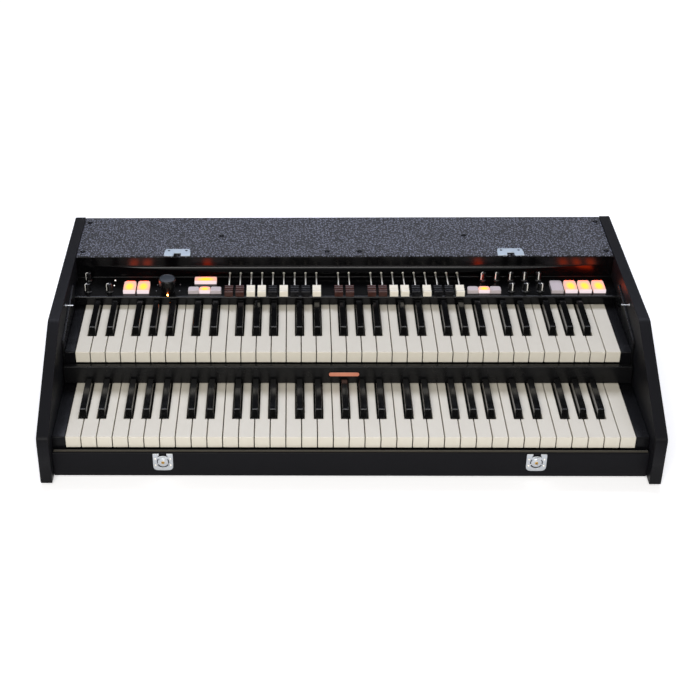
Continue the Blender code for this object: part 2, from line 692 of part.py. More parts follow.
def upper_keybed():
    """Folded chassis with fascia, ledge and guide rail, end blocks and tall end plates."""
    floor = LOWER_TOP + BED_CLEAR_BELOW
    back = UPPER_LIP + BLOCK_LENGTH - FIT
    ledge = UPPER_TOP - LEDGE_BELOW_KEYS
    riser_top = UPPER_TOP - RISER_BELOW_KEYS
    riser = FASCIA_FRONT + LEDGE_STEP
    stop_front = UPPER_LIP + STOP_FRONT
    stop_top = UPPER_TOP - STOP_BELOW_TOPS
    sheet = floor + BED_SHEET
    profile = [(FASCIA_FRONT, floor), (back, floor), (back, UPPER_TOP - REAR_WALL_BELOW_TOPS),
               (back - BED_SHEET, UPPER_TOP - REAR_WALL_BELOW_TOPS), (back - BED_SHEET, sheet),
               (stop_front + STOP_DEPTH, sheet), (stop_front + STOP_DEPTH, stop_top),
               (stop_front, stop_top), (stop_front, sheet), (FASCIA_FRONT + BED_SHEET, sheet),
               (FASCIA_FRONT + BED_SHEET, ledge - LEDGE_RISER), (riser + LEDGE_RISER,
                                                                ledge - LEDGE_RISER),
               (riser + LEDGE_RISER, riser_top), (riser, riser_top), (riser, ledge),
               (FASCIA_FRONT, ledge)]
    half = FITTED_HALF - SUNK
    bed = node("upper_keybed", outline("upper_keybed", profile, -half, half, ALONG_X), CHASSIS)
    block_floor = floor + SUNK
    shape = [(UPPER_LIP, block_floor), (back + FIT, block_floor), (back + FIT, UPPER_TOP),
             (UPPER_LIP, UPPER_TOP)]
    plate_front = UPPER_LIP + END_PLATE_SETBACK
    plate_back = PANEL_FRONT - FIT
    plate_floor = floor + 2 * SUNK
    wedge = [(plate_front, plate_floor), (plate_back, plate_floor),
             (plate_back, TOP_BOARD_BOTTOM - END_PLATE_BELOW_BOARD), (plate_front, PANEL_TOP)]
    plate_inner = FITTED_HALF - END_PLATE
    block_outer = plate_inner + SUNK
    blocks = []
    plates = []
    for side in (-1, 1):
        blocks.append(outline("upper_end_block", shape, *sorted((side * BLOCK_INNER,
                                                                side * block_outer)), ALONG_X))
        plates.append(outline("upper_end_plate", wedge, *sorted((side * plate_inner,
                                                                side * FITTED_HALF)), ALONG_X))
    join(bed, gathered("upper_end_blocks", blocks))
    join(bed, gathered("upper_end_plates", plates))
    cut(bed, pin_holes(UPPER_LIP, UPPER_TOP))


# Control panel and what it carries

def drawbar_places():
    """X and colour of every drawbar: groups of nine, two and nine with one empty place between."""
    places = []
    slots = sum(DRAWBAR_GROUPS) + len(DRAWBAR_GROUPS) - 1
    first = CONTROLS_X - (slots - 1) / 2 * DRAWBAR_PITCH
    slot = 0
    for count, colours in zip(DRAWBAR_GROUPS, DRAWBAR_COLOURS):
        for colour in colours.split()[:count]:
            places.append((first + slot * DRAWBAR_PITCH, colour))
            slot += 1
        slot += 1
    return places


def row_places(middle, count, width, spacing):
    """Middles of a row of equal buttons."""
    pitch = width + spacing
    return [middle + (number - (count - 1) / 2) * pitch for number in range(count)]


BUTTON_ROWS = (
    # Name, middle, count, width, spacing, front, depth, corner, colours
    ("tab_left", TAB_LEFT_X, TAB_LEFT_COUNT, TAB_WIDTH, BUTTON_SPACING, TAB_FRONT, TAB_DEPTH,
     TAB_CORNER, (1, 1)),
    ("tab_right", TAB_RIGHT_X, TAB_RIGHT_COUNT, TAB_WIDTH, BUTTON_SPACING, TAB_FRONT, TAB_DEPTH,
     TAB_CORNER, (0, 1, 1, 1)),
    ("trio_left", TRIO_LEFT_X, TRIO_COUNT, TRIO_WIDTH, TRIO_SPACING, TRIO_FRONT, TRIO_DEPTH,
     TRIO_CORNER, (0, 1, 0)),
    ("trio_right", TRIO_RIGHT_X, TRIO_COUNT, TRIO_WIDTH, TRIO_SPACING, TRIO_FRONT, TRIO_DEPTH,
     TRIO_CORNER, (0, 1, 0)),
    ("wide", TRIO_LEFT_X, 1, WIDE_WIDTH, BUTTON_SPACING, WIDE_FRONT, WIDE_DEPTH, WIDE_CORNER, (1,)),
)


def control_panel():
    """Folded panel, pierced for all it carries: lip, control surface, wall, flange under the top."""
    low_lip = UPPER_TOP + PANEL_LIP_CLEARANCE
    under = PANEL_TOP - PANEL_SHEET
    wall_back = WALL_FRONT + PANEL_SHEET
    wall_top = TOP_BOARD_BOTTOM - FIT
    flange_front = TOP_BOARD_FRONT - FLANGE_PROUD
    profile = [(PANEL_FRONT, low_lip), (PANEL_FRONT + PANEL_SHEET, low_lip),
               (PANEL_FRONT + PANEL_SHEET, under), (wall_back, under), (wall_back, wall_top),
               (flange_front, wall_top), (flange_front, wall_top - PANEL_FLANGE),
               (WALL_FRONT, wall_top - PANEL_FLANGE), (WALL_FRONT, PANEL_TOP),
               (PANEL_FRONT, PANEL_TOP)]
    panel = node("control_panel", outline("control_panel", profile, -FITTED_HALF, FITTED_HALF,
                                          ALONG_X), GLOSS)
    rod_hole = (ROD_RADIUS + ROD_HOLE_CLEARANCE) / math.cos(math.pi / SMALL_ROUND)
    rod_z = PANEL_TOP + CAP_CLEARANCE + ROD_HEIGHT
    holes = []
    for across, colour in drawbar_places():
        holes.append(cylinder("rod_hole", (across, WALL_FRONT - SUNK, rod_z),
                              (across, wall_back + SUNK, rod_z), rod_hole, SMALL_ROUND))
    cut(panel, gathered("rod_holes", holes))
    shaft_hole = (SHAFT_RADIUS + SHAFT_HOLE_CLEARANCE) / math.cos(math.pi / SMALL_ROUND)
    shafts = []
    for name, across, back in SMALL_KNOBS + (("selector", SELECTOR_X, KNOB_ROW_FRONT),):
        spot = (CONTROLS_X + across, PANEL_FRONT + back)
        shafts.append(cylinder("shaft_hole", (*spot, under - SUNK), (*spot, PANEL_TOP + SUNK),
                               shaft_hole, SMALL_ROUND))
    cut(panel, gathered("shaft_holes", shafts))
    wells = []
    for name, middle, count, width, spacing, front, depth, corner, lit in BUTTON_ROWS:
        half = (count * width + (count - 1) * spacing) / 2 + BUTTON_SEAT
        centre = CONTROLS_X + middle
        wells.append(box(name + "_well",
                         (centre - half, PANEL_FRONT + front - BUTTON_SEAT, under - SUNK),
                         (centre + half, PANEL_FRONT + front + depth + BUTTON_SEAT,
                          PANEL_TOP + SUNK)))
    cut(panel, gathered("button_wells", wells))


def drawbar(number, across, colour):
    """Cap with two finger hollows on a rod that slides through the wall, pulled fully out."""
    name = "drawbar_%02d" % number
    low = PANEL_TOP + CAP_CLEARANCE
    high = low + CAP_HEIGHT
    hollow = high - CAP_DISH
    crest = high - CAP_DISH / 4
    middle = (CAP_FRONT + CAP_BACK) / 2
    profile = [(CAP_FRONT, low), (CAP_BACK, low), (CAP_BACK, high), (CAP_BACK - CAP_RIM, high),
               (CAP_BACK - 2 * CAP_RIM, hollow), (middle + CAP_RIDGE / 2, hollow), (middle, crest),
               (middle - CAP_RIDGE / 2, hollow), (CAP_FRONT + 2 * CAP_RIM, hollow),
               (CAP_FRONT + CAP_RIM / 2, crest)]
    mesh = outline(name, profile, across - CAP_WIDTH / 2, across + CAP_WIDTH / 2, ALONG_X)
    rod_z = low + ROD_HEIGHT
    piece = node(name, mesh, CAP_COLOURS[colour], (across, CAP_BACK, rod_z))
    round_edges(piece, CAP_EDGE)
    join(piece, cylinder(name + "_rod", (across, CAP_BACK - ROD_INSIDE_CAP, rod_z),
                         (across, WALL_FRONT + PANEL_SHEET + ROD_BEHIND_WALL, rod_z),
                         ROD_RADIUS, SMALL_ROUND))


def turned(name, profile, sides, place):
    """Knob turned from its profile, which runs from the top down its outer side."""
    bm = bmesh.new()
    corners = [bm.verts.new((radius, 0, height)) for radius, height in profile]
    for above, below in zip(corners, corners[1:]):
        bm.edges.new((above, below))
    mesh = bpy.data.meshes.new(name)
    bm.to_mesh(mesh)
    bm.free()
    piece = node(name, mesh, KNOB_BLACK)
    piece.location = place
    screw = piece.modifiers.new("turned", "SCREW")
    screw.steps = sides
    screw.render_steps = sides
    screw.merge_threshold = 0.00001
    screw.use_merge_vertices = True
    screw.use_smooth_shade = True
    return piece


def knobs():
    """Small knobs with a base flange, and the large selector that widens to its top."""
    sheet_under = -(PANEL_SHEET + SUNK)
    small = [(0, KNOB_HEIGHT), (KNOB_RADIUS, KNOB_HEIGHT), (KNOB_RADIUS, KNOB_FLANGE),
             (KNOB_FLANGE_RADIUS, KNOB_FLANGE), (KNOB_FLANGE_RADIUS, FIT), (SHAFT_RADIUS, FIT),
             (SHAFT_RADIUS, sheet_under), (0, sheet_under)]
    for name, across, back in SMALL_KNOBS:
        turned(name, small, SMALL_KNOB_SIDES, (CONTROLS_X + across, PANEL_FRONT + back, PANEL_TOP))
    shoulder = SELECTOR_HEIGHT * 3 / 5
    large = [(0, SELECTOR_HEIGHT), (SELECTOR_RADIUS - KNOB_FLANGE / 2, SELECTOR_HEIGHT),
             (SELECTOR_RADIUS, SELECTOR_HEIGHT - KNOB_FLANGE / 2), (SELECTOR_RADIUS, shoulder),
             (SELECTOR_BASE_RADIUS, FIT), (SHAFT_RADIUS, FIT), (SHAFT_RADIUS, sheet_under),
             (0, sheet_under)]
    turned("selector_knob", large, SELECTOR_SIDES,
           (CONTROLS_X + SELECTOR_X, PANEL_FRONT + KNOB_ROW_FRONT, PANEL_TOP))


def button(name, across, width, front, depth, corner, lit):
    """Flat lens with rounded back corners, standing in its well."""
    low = PANEL_TOP - BUTTON_ROOT
    high = PANEL_TOP + BUTTON_RISE
    near = PANEL_FRONT + front
    far = near + depth
    half = width / 2
    shape = [(across - half, near), (across + half, near)]
    shape += arc((across + half - corner, far - corner), corner, 0, 90)
    shape += arc((across - half + corner, far - corner), corner, 90, 180)
    mesh = chamfer_top(outline(name, shape, low, high, ALONG_Z), BUTTON_EDGE, high)
    node(name, mesh, LIT_YELLOW if lit else UNLIT_WHITE, (across, (near + far) / 2, PANEL_TOP))


def buttons():
    for name, middle, count, width, spacing, front, depth, corner, lit in BUTTON_ROWS:
        places = row_places(CONTROLS_X + middle, count, width, spacing)
        for number, across in enumerate(places):
            button("button_%s_%d" % (name, number + 1), across, width, front, depth, corner,
                   lit[number])


cheek("left_cheek", -OUTER_HALF, -INNER_HALF)
cheek("right_cheek", INNER_HALF, OUTER_HALF)
bottom_board()
back_panel()
top_board()
front_rail()
lower_keybed()
upper_keybed()
manual("lower", LOWER_LIP, LOWER_TOP)
manual("upper", UPPER_LIP, UPPER_TOP)
control_panel()
for index, (x, shade) in enumerate(drawbar_places()):
    drawbar(index + 1, x, shade)
knobs()
buttons()
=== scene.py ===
# %% [markdown]
# # A two-manual drawbar organ, dressed for its portrait
# A drawbar organ is a black wooden cabinet with two keyboards and a glossy steel panel of
# drawbars, knobs and lamp buttons above them. Two suitcase latches hold its lid, which is off
# here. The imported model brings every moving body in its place: drawbars that slide, knobs that
# turn, buttons and key sets that dip. This lesson leaves those bodies alone. It covers them with
# finished pieces: 122 rounded keys, turned knobs, plated metal, pebbled paint and lit acrylic.

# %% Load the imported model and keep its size
import json
import math
import bmesh
import bpy
from mathutils import Matrix, Vector


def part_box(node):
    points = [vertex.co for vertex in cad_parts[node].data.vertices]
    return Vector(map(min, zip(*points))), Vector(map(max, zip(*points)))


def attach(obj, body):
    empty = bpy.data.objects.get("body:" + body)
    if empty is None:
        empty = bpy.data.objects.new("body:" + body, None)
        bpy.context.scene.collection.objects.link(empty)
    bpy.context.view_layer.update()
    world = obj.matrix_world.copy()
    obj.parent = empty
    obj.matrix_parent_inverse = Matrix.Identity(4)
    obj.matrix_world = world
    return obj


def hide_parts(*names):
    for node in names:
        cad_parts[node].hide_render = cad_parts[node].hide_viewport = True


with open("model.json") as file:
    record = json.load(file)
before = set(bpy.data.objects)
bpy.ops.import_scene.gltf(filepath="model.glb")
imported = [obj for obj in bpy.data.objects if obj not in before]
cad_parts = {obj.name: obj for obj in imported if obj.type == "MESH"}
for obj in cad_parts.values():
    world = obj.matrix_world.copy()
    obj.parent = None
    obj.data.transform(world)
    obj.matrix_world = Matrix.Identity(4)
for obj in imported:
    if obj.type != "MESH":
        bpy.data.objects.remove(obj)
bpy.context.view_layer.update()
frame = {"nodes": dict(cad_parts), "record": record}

slot_of = {part["node"]: part["material_slot"] for part in frame["record"]["subparts"]}
scene = bpy.context.scene

# %% [markdown]
# ## Small tools for materials
# Paint charts and photographs give colours as sRGB hex values, but Blender mixes light in linear
# values, so one function converts them. Another adds a node, sets it and links it, which keeps
# each material readable as a list of what it is made of. Others feed patterns into a shader, and
# start every material with the same pair, a Principled shader and an output.

# %% Colour, node and material tools
def linear(hex_colour):
    """An sRGB hex colour as linear red, green, blue and alpha."""
    values = [int(hex_colour[i:i + 2], 16) / 255 for i in (1, 3, 5)]
    return [v / 12.92 if v <= 0.04045 else ((v + 0.055) / 1.055) ** 2.4 for v in values] + [1.0]


def link(tree, source, socket):
    """Link an output, or the first output that a node has in use, to a socket."""
    if isinstance(source, bpy.types.Node):
        source = next(output for output in source.outputs if output.enabled)
    tree.links.new(source, socket)


def add_node(tree, kind, inputs=None, **settings):
    """One shader node; each input is a value, an output or a node, as in link."""
    node = tree.nodes.new("ShaderNode" + kind)
    for key, value in settings.items():
        setattr(node, key, value)
    for key, value in (inputs or {}).items():
        if isinstance(value, (bpy.types.Node, bpy.types.NodeSocket)):
            link(tree, value, node.inputs[key])
        else:
            node.inputs[key].default_value = value
    return node


def feed(tree, shader, **sources):
    """Link nodes or outputs to the shader's sockets of the same names."""
    for key, source in sources.items():
        link(tree, source, shader.inputs[key.replace("_", " ")])


def surface(tree, shader, pattern, colours, shine=None, relief=None):
    """Colour, shine and relief from patterns: two hex colours, two roughnesses, a height in mm."""
    mix = {0: pattern, 6: linear(colours[0]), 7: linear(colours[1])}
    feed(tree, shader, Base_Color=add_node(tree, "Mix", mix, data_type="RGBA"))
    if shine:
        spread = dict(zip(("Value", "To Min", "To Max"), shine))
        feed(tree, shader, Roughness=add_node(tree, "MapRange", spread))
    if relief:
        height, strength, height_mm = relief
        bump = {"Height": height, "Strength": strength, "Distance": height_mm / 1000}
        feed(tree, shader, Normal=add_node(tree, "Bump", bump))


def start_material(name, **sockets):
    """A material with a Principled shader; sockets are its uniform values."""
    material = bpy.data.materials.new(name)
    material.use_nodes = True
    tree = material.node_tree
    tree.nodes.clear()
    shader = add_node(tree, "BsdfPrincipled",
                      {key.replace("_", " "): value for key, value in sockets.items()})
    add_node(tree, "OutputMaterial", {"Surface": shader.outputs["BSDF"]})
    place = add_node(tree, "TexCoord").outputs["Object"]
    return material, tree, shader, place


print("white is", [round(v, 3) for v in linear("#ffffff")], "mid grey", linear("#808080")[0])

# %% [markdown]
# ## The camera
# The photograph was taken from in front and above, about two metres away and 8 cm left of the
# middle. A long lens from there keeps the two keyboards nearly parallel. The camera looks down by
# 32.6 degrees and is turned and rolled by a degree or two, as a hand-set tripod is. A sideways
# shift frames the organ. Depth of field stays off, because the whole organ is sharp in the
# photograph.

# %% Camera at the photograph's viewing angle
def spin(degrees, axis):
    """Rotation matrix about an axis."""
    return Matrix.Rotation(math.radians(degrees), 4, axis)


camera_data = bpy.data.cameras.new("photo_camera")
camera_data.lens = 74.87
camera_data.sensor_width = 36
camera_data.shift_x = 0.134
camera_data.clip_end = 20
camera = bpy.data.objects.new("photo_camera", camera_data)
camera.matrix_world = (Matrix.Translation((-0.083, -1.981, 1.3382)) @ spin(1.73, "Z")
                       @ spin(90 - 32.6, "X") @ spin(-0.95, "Z"))
scene.collection.objects.link(camera)
scene.camera = camera
scene.view_settings.view_transform = "Standard"
print("camera", tuple(round(v, 3) for v in camera.location), "lens", camera_data.lens)

# %% [markdown]
# ## The studio
# Two soft boxes light the organ: a large one behind the photographer, which lights key fronts and
# tops alike, and a smaller one high behind the organ, which draws the sheen on the pebbled paint.
# The floor is pale and bright enough to go white, and still takes the cabinet's shadow. The world
# shows white to the camera, to gloss and to glass, but gives the object only a dim, even fill.
# Gloss black needs something dark to mirror, so a black flag stands behind the organ and a lower
# one in front of it, where only reflections see them.

# %% Floor, world, lights and the black flags
def light_box(name, place, aim, size, watts, tint="#ffffff"):
    """Rectangular soft box that points at a spot."""
    data = bpy.data.lights.new(name, "AREA")
    data.shape = "RECTANGLE"
    data.size, data.size_y = size
    data.energy = watts
    data.color = linear(tint)[:3]
    box = bpy.data.objects.new(name, data)
    box.location = place
    box.rotation_euler = (Vector(aim) - Vector(place)).to_track_quat("-Z", "Y").to_euler()
    scene.collection.objects.link(box)
    return box


light_box("front_box", (-0.35, -3.0, 2.1), (0, 0, 0.1), (2.4, 1.7), 112, "#fffcf8")
light_box("back_box", (0.0, 1.7, 2.4), (0, 0.1, 0.1), (2.6, 0.8), 58, "#e6ebff")


def seen_directly(tree):
    """1 for rays that show a background: camera, glossy and transmission rays."""
    rays = add_node(tree, "LightPath")
    both = add_node(tree, "Math",
                    {0: rays.outputs["Is Camera Ray"], 1: rays.outputs["Is Glossy Ray"]},
                    operation="MAXIMUM")
    return add_node(tree, "Math", {0: both, 1: rays.outputs["Is Transmission Ray"]},
                    operation="MAXIMUM")


world = bpy.data.worlds.new("white_room")
scene.world = world
world.use_nodes = True
room = world.node_tree
room.nodes.clear()
fill = add_node(room, "Background", {"Color": linear("#f4f6ff"), "Strength": 0.16})
white = add_node(room, "Background", {"Color": (1, 1, 1, 1), "Strength": 1.0})
shown = add_node(room, "MixShader", {0: seen_directly(room), 1: fill, 2: white})
add_node(room, "OutputWorld", {"Surface": shown})


def mesh_from(bm, name):
    """The bmesh as a mesh."""
    mesh = bpy.data.meshes.new(name)
    bm.to_mesh(mesh)
    bm.free()
    return mesh


def stage_plane(name, width, depth, matrix):
    """Flat rectangle of the studio, not part of the organ."""
    bm = bmesh.new()
    bmesh.ops.create_grid(bm, x_segments=1, y_segments=1, size=0.5)
    bm.transform(matrix @ Matrix.Diagonal((width, depth, 1, 1)))
    plane = bpy.data.objects.new(name, mesh_from(bm, name))
    scene.collection.objects.link(plane)
    return plane


floor = stage_plane("studio_floor", 16, 16, Matrix.Identity(4))
floor_paper, tree, shader, place = start_material("matte_paper_floor", Roughness=0.9, IOR=1.2)
fibres = add_node(tree, "TexNoise", {"Vector": place, "Scale": 6.0, "Detail": 2.0})
surface(tree, shader, fibres, ("#f1f1f1", "#f4f4f4"))
lift = add_node(tree, "Math", {0: seen_directly(tree), 1: 0.42}, operation="MULTIPLY")
glow = add_node(tree, "Emission", {"Color": (1, 1, 1, 1), "Strength": lift})
added = add_node(tree, "AddShader", {0: shader, 1: glow})
link(tree, added, tree.nodes["Material Output"].inputs["Surface"])
floor.data.materials.append(floor_paper)

velvet, tree, shader, place = start_material("black_velvet", Roughness=1.0, Specular_IOR_Level=0.0)
nap = add_node(tree, "TexNoise", {"Vector": place, "Scale": 40.0})
surface(tree, shader, nap, ("#050505", "#080808"))
for name, width, height, y, z in (("back_flag", 4.4, 2.6, 3.0, 1.95),
                                  ("front_flag", 7.0, 2.0, -4.2, 1.0)):
    flag = stage_plane(name, width, height, Matrix.Translation((0, y, z)) @ spin(90, "X"))
    flag.visible_camera = False
    flag.visible_shadow = False
    flag.visible_diffuse = False
    flag.data.materials.append(velvet)
print("studio: 2 soft boxes, floor, white room and 2 flags")

# %% [markdown]
# ## Paint
# The cabinet is plywood under two different black paints. The lid and the top board carry a
# structured two-pack paint: a smooth coat, then coarse drops sprayed over it, which harden as
# pebbles some 3.6 mm apart. The eye reads them as small lights and darks in the sheen, and here
# that sheen is painted into the colour: light bluish grey on the drops, with painted shade between
# them. The cheeks and the front rail have the same paint rolled finer, so they only look softly
# satin. A Voronoi pattern gives the separate drops, and a Bump node turns it into relief, because
# real displacement would cost a million facets for the same look.

# %% Sprayed paint
def sprayed_paint(name, colour, worn, rough, drop_mm, relief_mm, gloss=0.5, hollow_shade=None):
    """Paint with sprayed drops: drop_mm is their spacing and relief_mm their height; hollow_shade,
    if given, is a dark colour painted between the drops as shade.
    """
    material, tree, shader, place = start_material(name, Specular_IOR_Level=gloss)
    drops = add_node(tree, "TexVoronoi",
                     {"Vector": place, "Scale": 1000 / drop_mm, "Smoothness": 0.35,
                      "Randomness": 0.9}, feature="SMOOTH_F1")
    mist = add_node(tree, "TexNoise", {"Vector": place, "Scale": 2600 / drop_mm, "Detail": 2.0})
    heap = add_node(tree, "Math", {0: drops.outputs["Distance"], 1: mist}, operation="ADD")
    relief = add_node(tree, "Bump", {"Height": heap, "Strength": 1.0, "Distance": relief_mm / 1000},
                      invert=True)
    # Handling polishes a black paint in patches of about 60 mm, which shows as faint cloudiness.
    patches = add_node(tree, "TexNoise", {"Vector": place, "Scale": 16.0, "Detail": 3.0})
    body = add_node(tree, "Mix", {0: patches, 6: linear(colour), 7: linear(worn)}, data_type="RGBA")
    polish = add_node(tree, "MapRange",
                      {"Value": patches, "To Min": rough - 0.05, "To Max": rough + 0.06})
    if hollow_shade:
        # Between the drops a dark colour paints the shade that falls in the hollows, so the drops'
        # lighter tops read as painted sheen.
        tops = add_node(tree, "MapRange", {"Value": heap, "From Min": 0.62, "From Max": 1.0},
                        interpolation_type="SMOOTHSTEP")
        body = add_node(tree, "Mix", {0: tops, 6: body, 7: linear(hollow_shade)}, data_type="RGBA")
    feed(tree, shader, Base_Color=body, Roughness=polish, Normal=relief)
    return material


# Coarse structured paint: pebbles 3.6 mm apart and about a millimetre high. The paint is black; its
# two light bluish-grey colours paint in the sheen of the back light, and the last, dark colour
# paints the shade between the drops.
structured_paint = sprayed_paint("structured_polyurethane_paint", "#7c8090", "#888c9e", 0.46, 3.6,
                                 1.2, 0.30, "#131317")
# The same paint rolled out: the orange peel of a satin lacquer, 1.1 mm apart and very low.
satin_lacquer = sprayed_paint("satin_polyurethane_lacquer", "#0d0d10", "#111114", 0.42, 1.1, 0.05,
                              0.08)
# Board edges and inner faces that nobody looks at are rolled flat black.
flat_black = sprayed_paint("flat_black_board_paint", "#171718", "#1c1c1d", 0.75, 1.6, 0.08, 0.15)
# Stove enamel on the steel panel flows out like glass, with a peel too low to see but at an angle.
stove_enamel = sprayed_paint("black_stove_enamel", "#030304", "#050506", 0.20, 9.0, 0.004, 0.18)
# Powder coat on the folded keybeds is a little softer than enamel.
powder_coat = sprayed_paint("black_powder_coat", "#0b0b0c", "#0e0e0f", 0.27, 2.2, 0.012, 0.20)
print("paints made")

# %% [markdown]
# ## Moulded plastic
# Keys, knobs and caps are injection-moulded ABS. A polished mould makes it glossy and a sparked
# mould makes it satin. ABS is never one flat tone: pigment swirls a little, and fingers polish
# the faces they touch. Noise at the scale of a few centimetres gives the swirl, and a much finer
# one gives the mould's grain.

# %% Moulded plastics
def moulded_abs(name, colour, swirl, rough, grain_mm=0.5, grain_relief_mm=0.004, **extra):
    """Injection-moulded ABS with pigment swirl and the grain of its mould."""
    material, tree, shader, place = start_material(name, IOR=1.54, **extra)
    flow = add_node(tree, "TexNoise",
                    {"Vector": place, "Scale": 38.0, "Detail": 3.0, "Distortion": 0.6})
    wear = add_node(tree, "TexNoise", {"Vector": place, "Scale": 70.0, "Detail": 4.0})
    grain = add_node(tree, "TexNoise", {"Vector": place, "Scale": 1000 / grain_mm})
    surface(tree, shader, flow, (colour, swirl), (wear, rough - 0.05, rough + 0.07),
            (grain, 0.6, grain_relief_mm))
    return material


# Natural keys: warm white ABS, satin on top; the hex is the shade of aged piano ivory.
ivory_abs = moulded_abs("ivory_key_abs", "#d6d1c2", "#d0cabb", 0.34, 0.6, 0.006)
# Sharps: black ABS from a polished mould, so edges catch thin bright lines.
ebony_abs = moulded_abs("polished_black_key_abs", "#070707", "#0a0a0a", 0.13, 0.7, 0.003,
                        Specular_IOR_Level=0.34)
# Knobs and end blocks: satin black ABS.
knob_abs = moulded_abs("satin_black_knob_abs", "#050506", "#080809", 0.25, Specular_IOR_Level=0.3)
block_abs = moulded_abs("satin_black_block_abs", "#08080a", "#0b0b0d", 0.24,
                        Specular_IOR_Level=0.08)
# The selector's top is a dark grey insert.
grey_abs = moulded_abs("dark_grey_insert_abs", "#22272c", "#272c32", 0.45, Specular_IOR_Level=0.2)
# Drawbar caps in the three traditional shades.
cap_abs = {
    "cap_brown": moulded_abs("brown_cap_abs", "#32140d", "#3a180f", 0.18, Specular_IOR_Level=0.24),
    "cap_white": moulded_abs("white_cap_abs", "#e6e0d0", "#e0dac9", 0.42),
    "cap_black": moulded_abs("black_cap_abs", "#07070a", "#0a0a0d", 0.20, Specular_IOR_Level=0.12),
}
# Pointer lines are white filler pressed into a groove.
white_filler = moulded_abs("white_pointer_filler", "#f2f0ea", "#e9e6dd", 0.5)
# Nylon makes the sockets' bodies; it is matt and slightly waxy.
nylon = moulded_abs("black_nylon", "#1b1b1c", "#202021", 0.5, 0.8, 0.01)
print("plastics made")

# %% [markdown]
# ## Metal
# Five metals show. The drawbar rods and their bushings are nickel-plated steel, bright and a
# little warm. The catch plates are zinc-plated and tumbled, which leaves a paler, softer shine
# with fine scuffs. The latches are stamped nickel silver, greyer than both. The lock's cylinder
# is brass. Screws are steel with a black oxide skin. A metal keeps the default IOR; its colour is
# its reflection, and roughness tells polished from tumbled.

# %% Plated metals
def plated_metal(name, colour, dulled, rough, scuff_mm, relief_mm):
    """Metal with cloudy plating and fine scuffs."""
    material, tree, shader, place = start_material(name, Metallic=1.0)
    cloud = add_node(tree, "TexNoise", {"Vector": place, "Scale": 120.0, "Detail": 3.0})
    stretch = add_node(tree, "Mapping", {"Vector": place, "Scale": (1.0, 0.25, 0.25)})
    scuffs = add_node(tree, "TexNoise",
                      {"Vector": stretch, "Scale": 1000 / scuff_mm, "Detail": 2.0})
    surface(tree, shader, cloud, (colour, dulled), (scuffs, max(rough - 0.07, 0.02), rough + 0.12),
            (scuffs, 0.5, relief_mm))
    return material


nickel = plated_metal("nickel_plated_steel", "#f1ede4", "#e2ddd2", 0.46, 0.8, 0.002)
zinc = plated_metal("zinc_plated_steel", "#b0b9be", "#9aa4aa", 0.42, 1.4, 0.02)
stamped = plated_metal("stamped_nickel_silver", "#c4c7ca", "#aeb2b6", 0.36, 1.4, 0.02)
brass = plated_metal("lock_cylinder_brass", "#cfa75a", "#b98f45", 0.28, 0.7, 0.004)
black_oxide = plated_metal("black_oxide_steel", "#111113", "#0b0b0d", 0.36, 0.7, 0.004)
print("metals made")

# %% [markdown]
# ## Felt and rubber
# A strip of wool felt lies on the rail in front of the lower keys, and strips of it line the
# guide rails under them. Felt has no shine of its own: fibres scatter light, which the sheen of
# the shader imitates. The feet are moulded rubber, dull and slightly dusty.

# %% Felt and rubber
def fibrous(name, colour, fleck, rough, fibre_mm, relief_mm, sheen=0.0):
    """Soft matt material with fibres or specks of one size."""
    material, tree, shader, place = start_material(name, Roughness=rough, Sheen_Weight=sheen,
                                                   Sheen_Roughness=0.6, Specular_IOR_Level=0.2)
    strands = add_node(tree, "TexNoise",
                       {"Vector": place, "Scale": 1000 / fibre_mm, "Detail": 4.0,
                        "Distortion": 1.5})
    surface(tree, shader, strands, (colour, fleck), relief=(strands, 0.8, relief_mm))
    return material


wool_felt = fibrous("grey_brown_wool_felt", "#2b2820", "#423d32", 0.95, 1.2, 0.15, 0.2)
guide_felt = fibrous("red_guide_felt", "#5a1f1c", "#742b26", 0.95, 1.2, 0.15, 0.35)
rubber = fibrous("moulded_rubber", "#1b1b1b", "#262626", 0.85, 1.5, 0.05)
print("felt and rubber made")

# %% [markdown]
# ## Lamps behind acrylic
# The buttons are caps of milky acrylic with a warm lamp under each. Where the lamp is near, the
# cap is so bright that a camera only records yellow; towards the rim it fades to a pinkish white.
# A gradient that grows from each cap's middle drives the emission, so the fade belongs to the cap
# and stays with it in every view. The light it throws on the enamel is red, because the lamp
# itself is. Below the panel the cap sits in its switch and sends no light out, so a second
# gradient ends the glow at the panel's height.

# %% Lit and unlit acrylic
LAMP_RED = (15.0, 0.70, 0.02)  # linear light of the lamps, far past what a camera can record


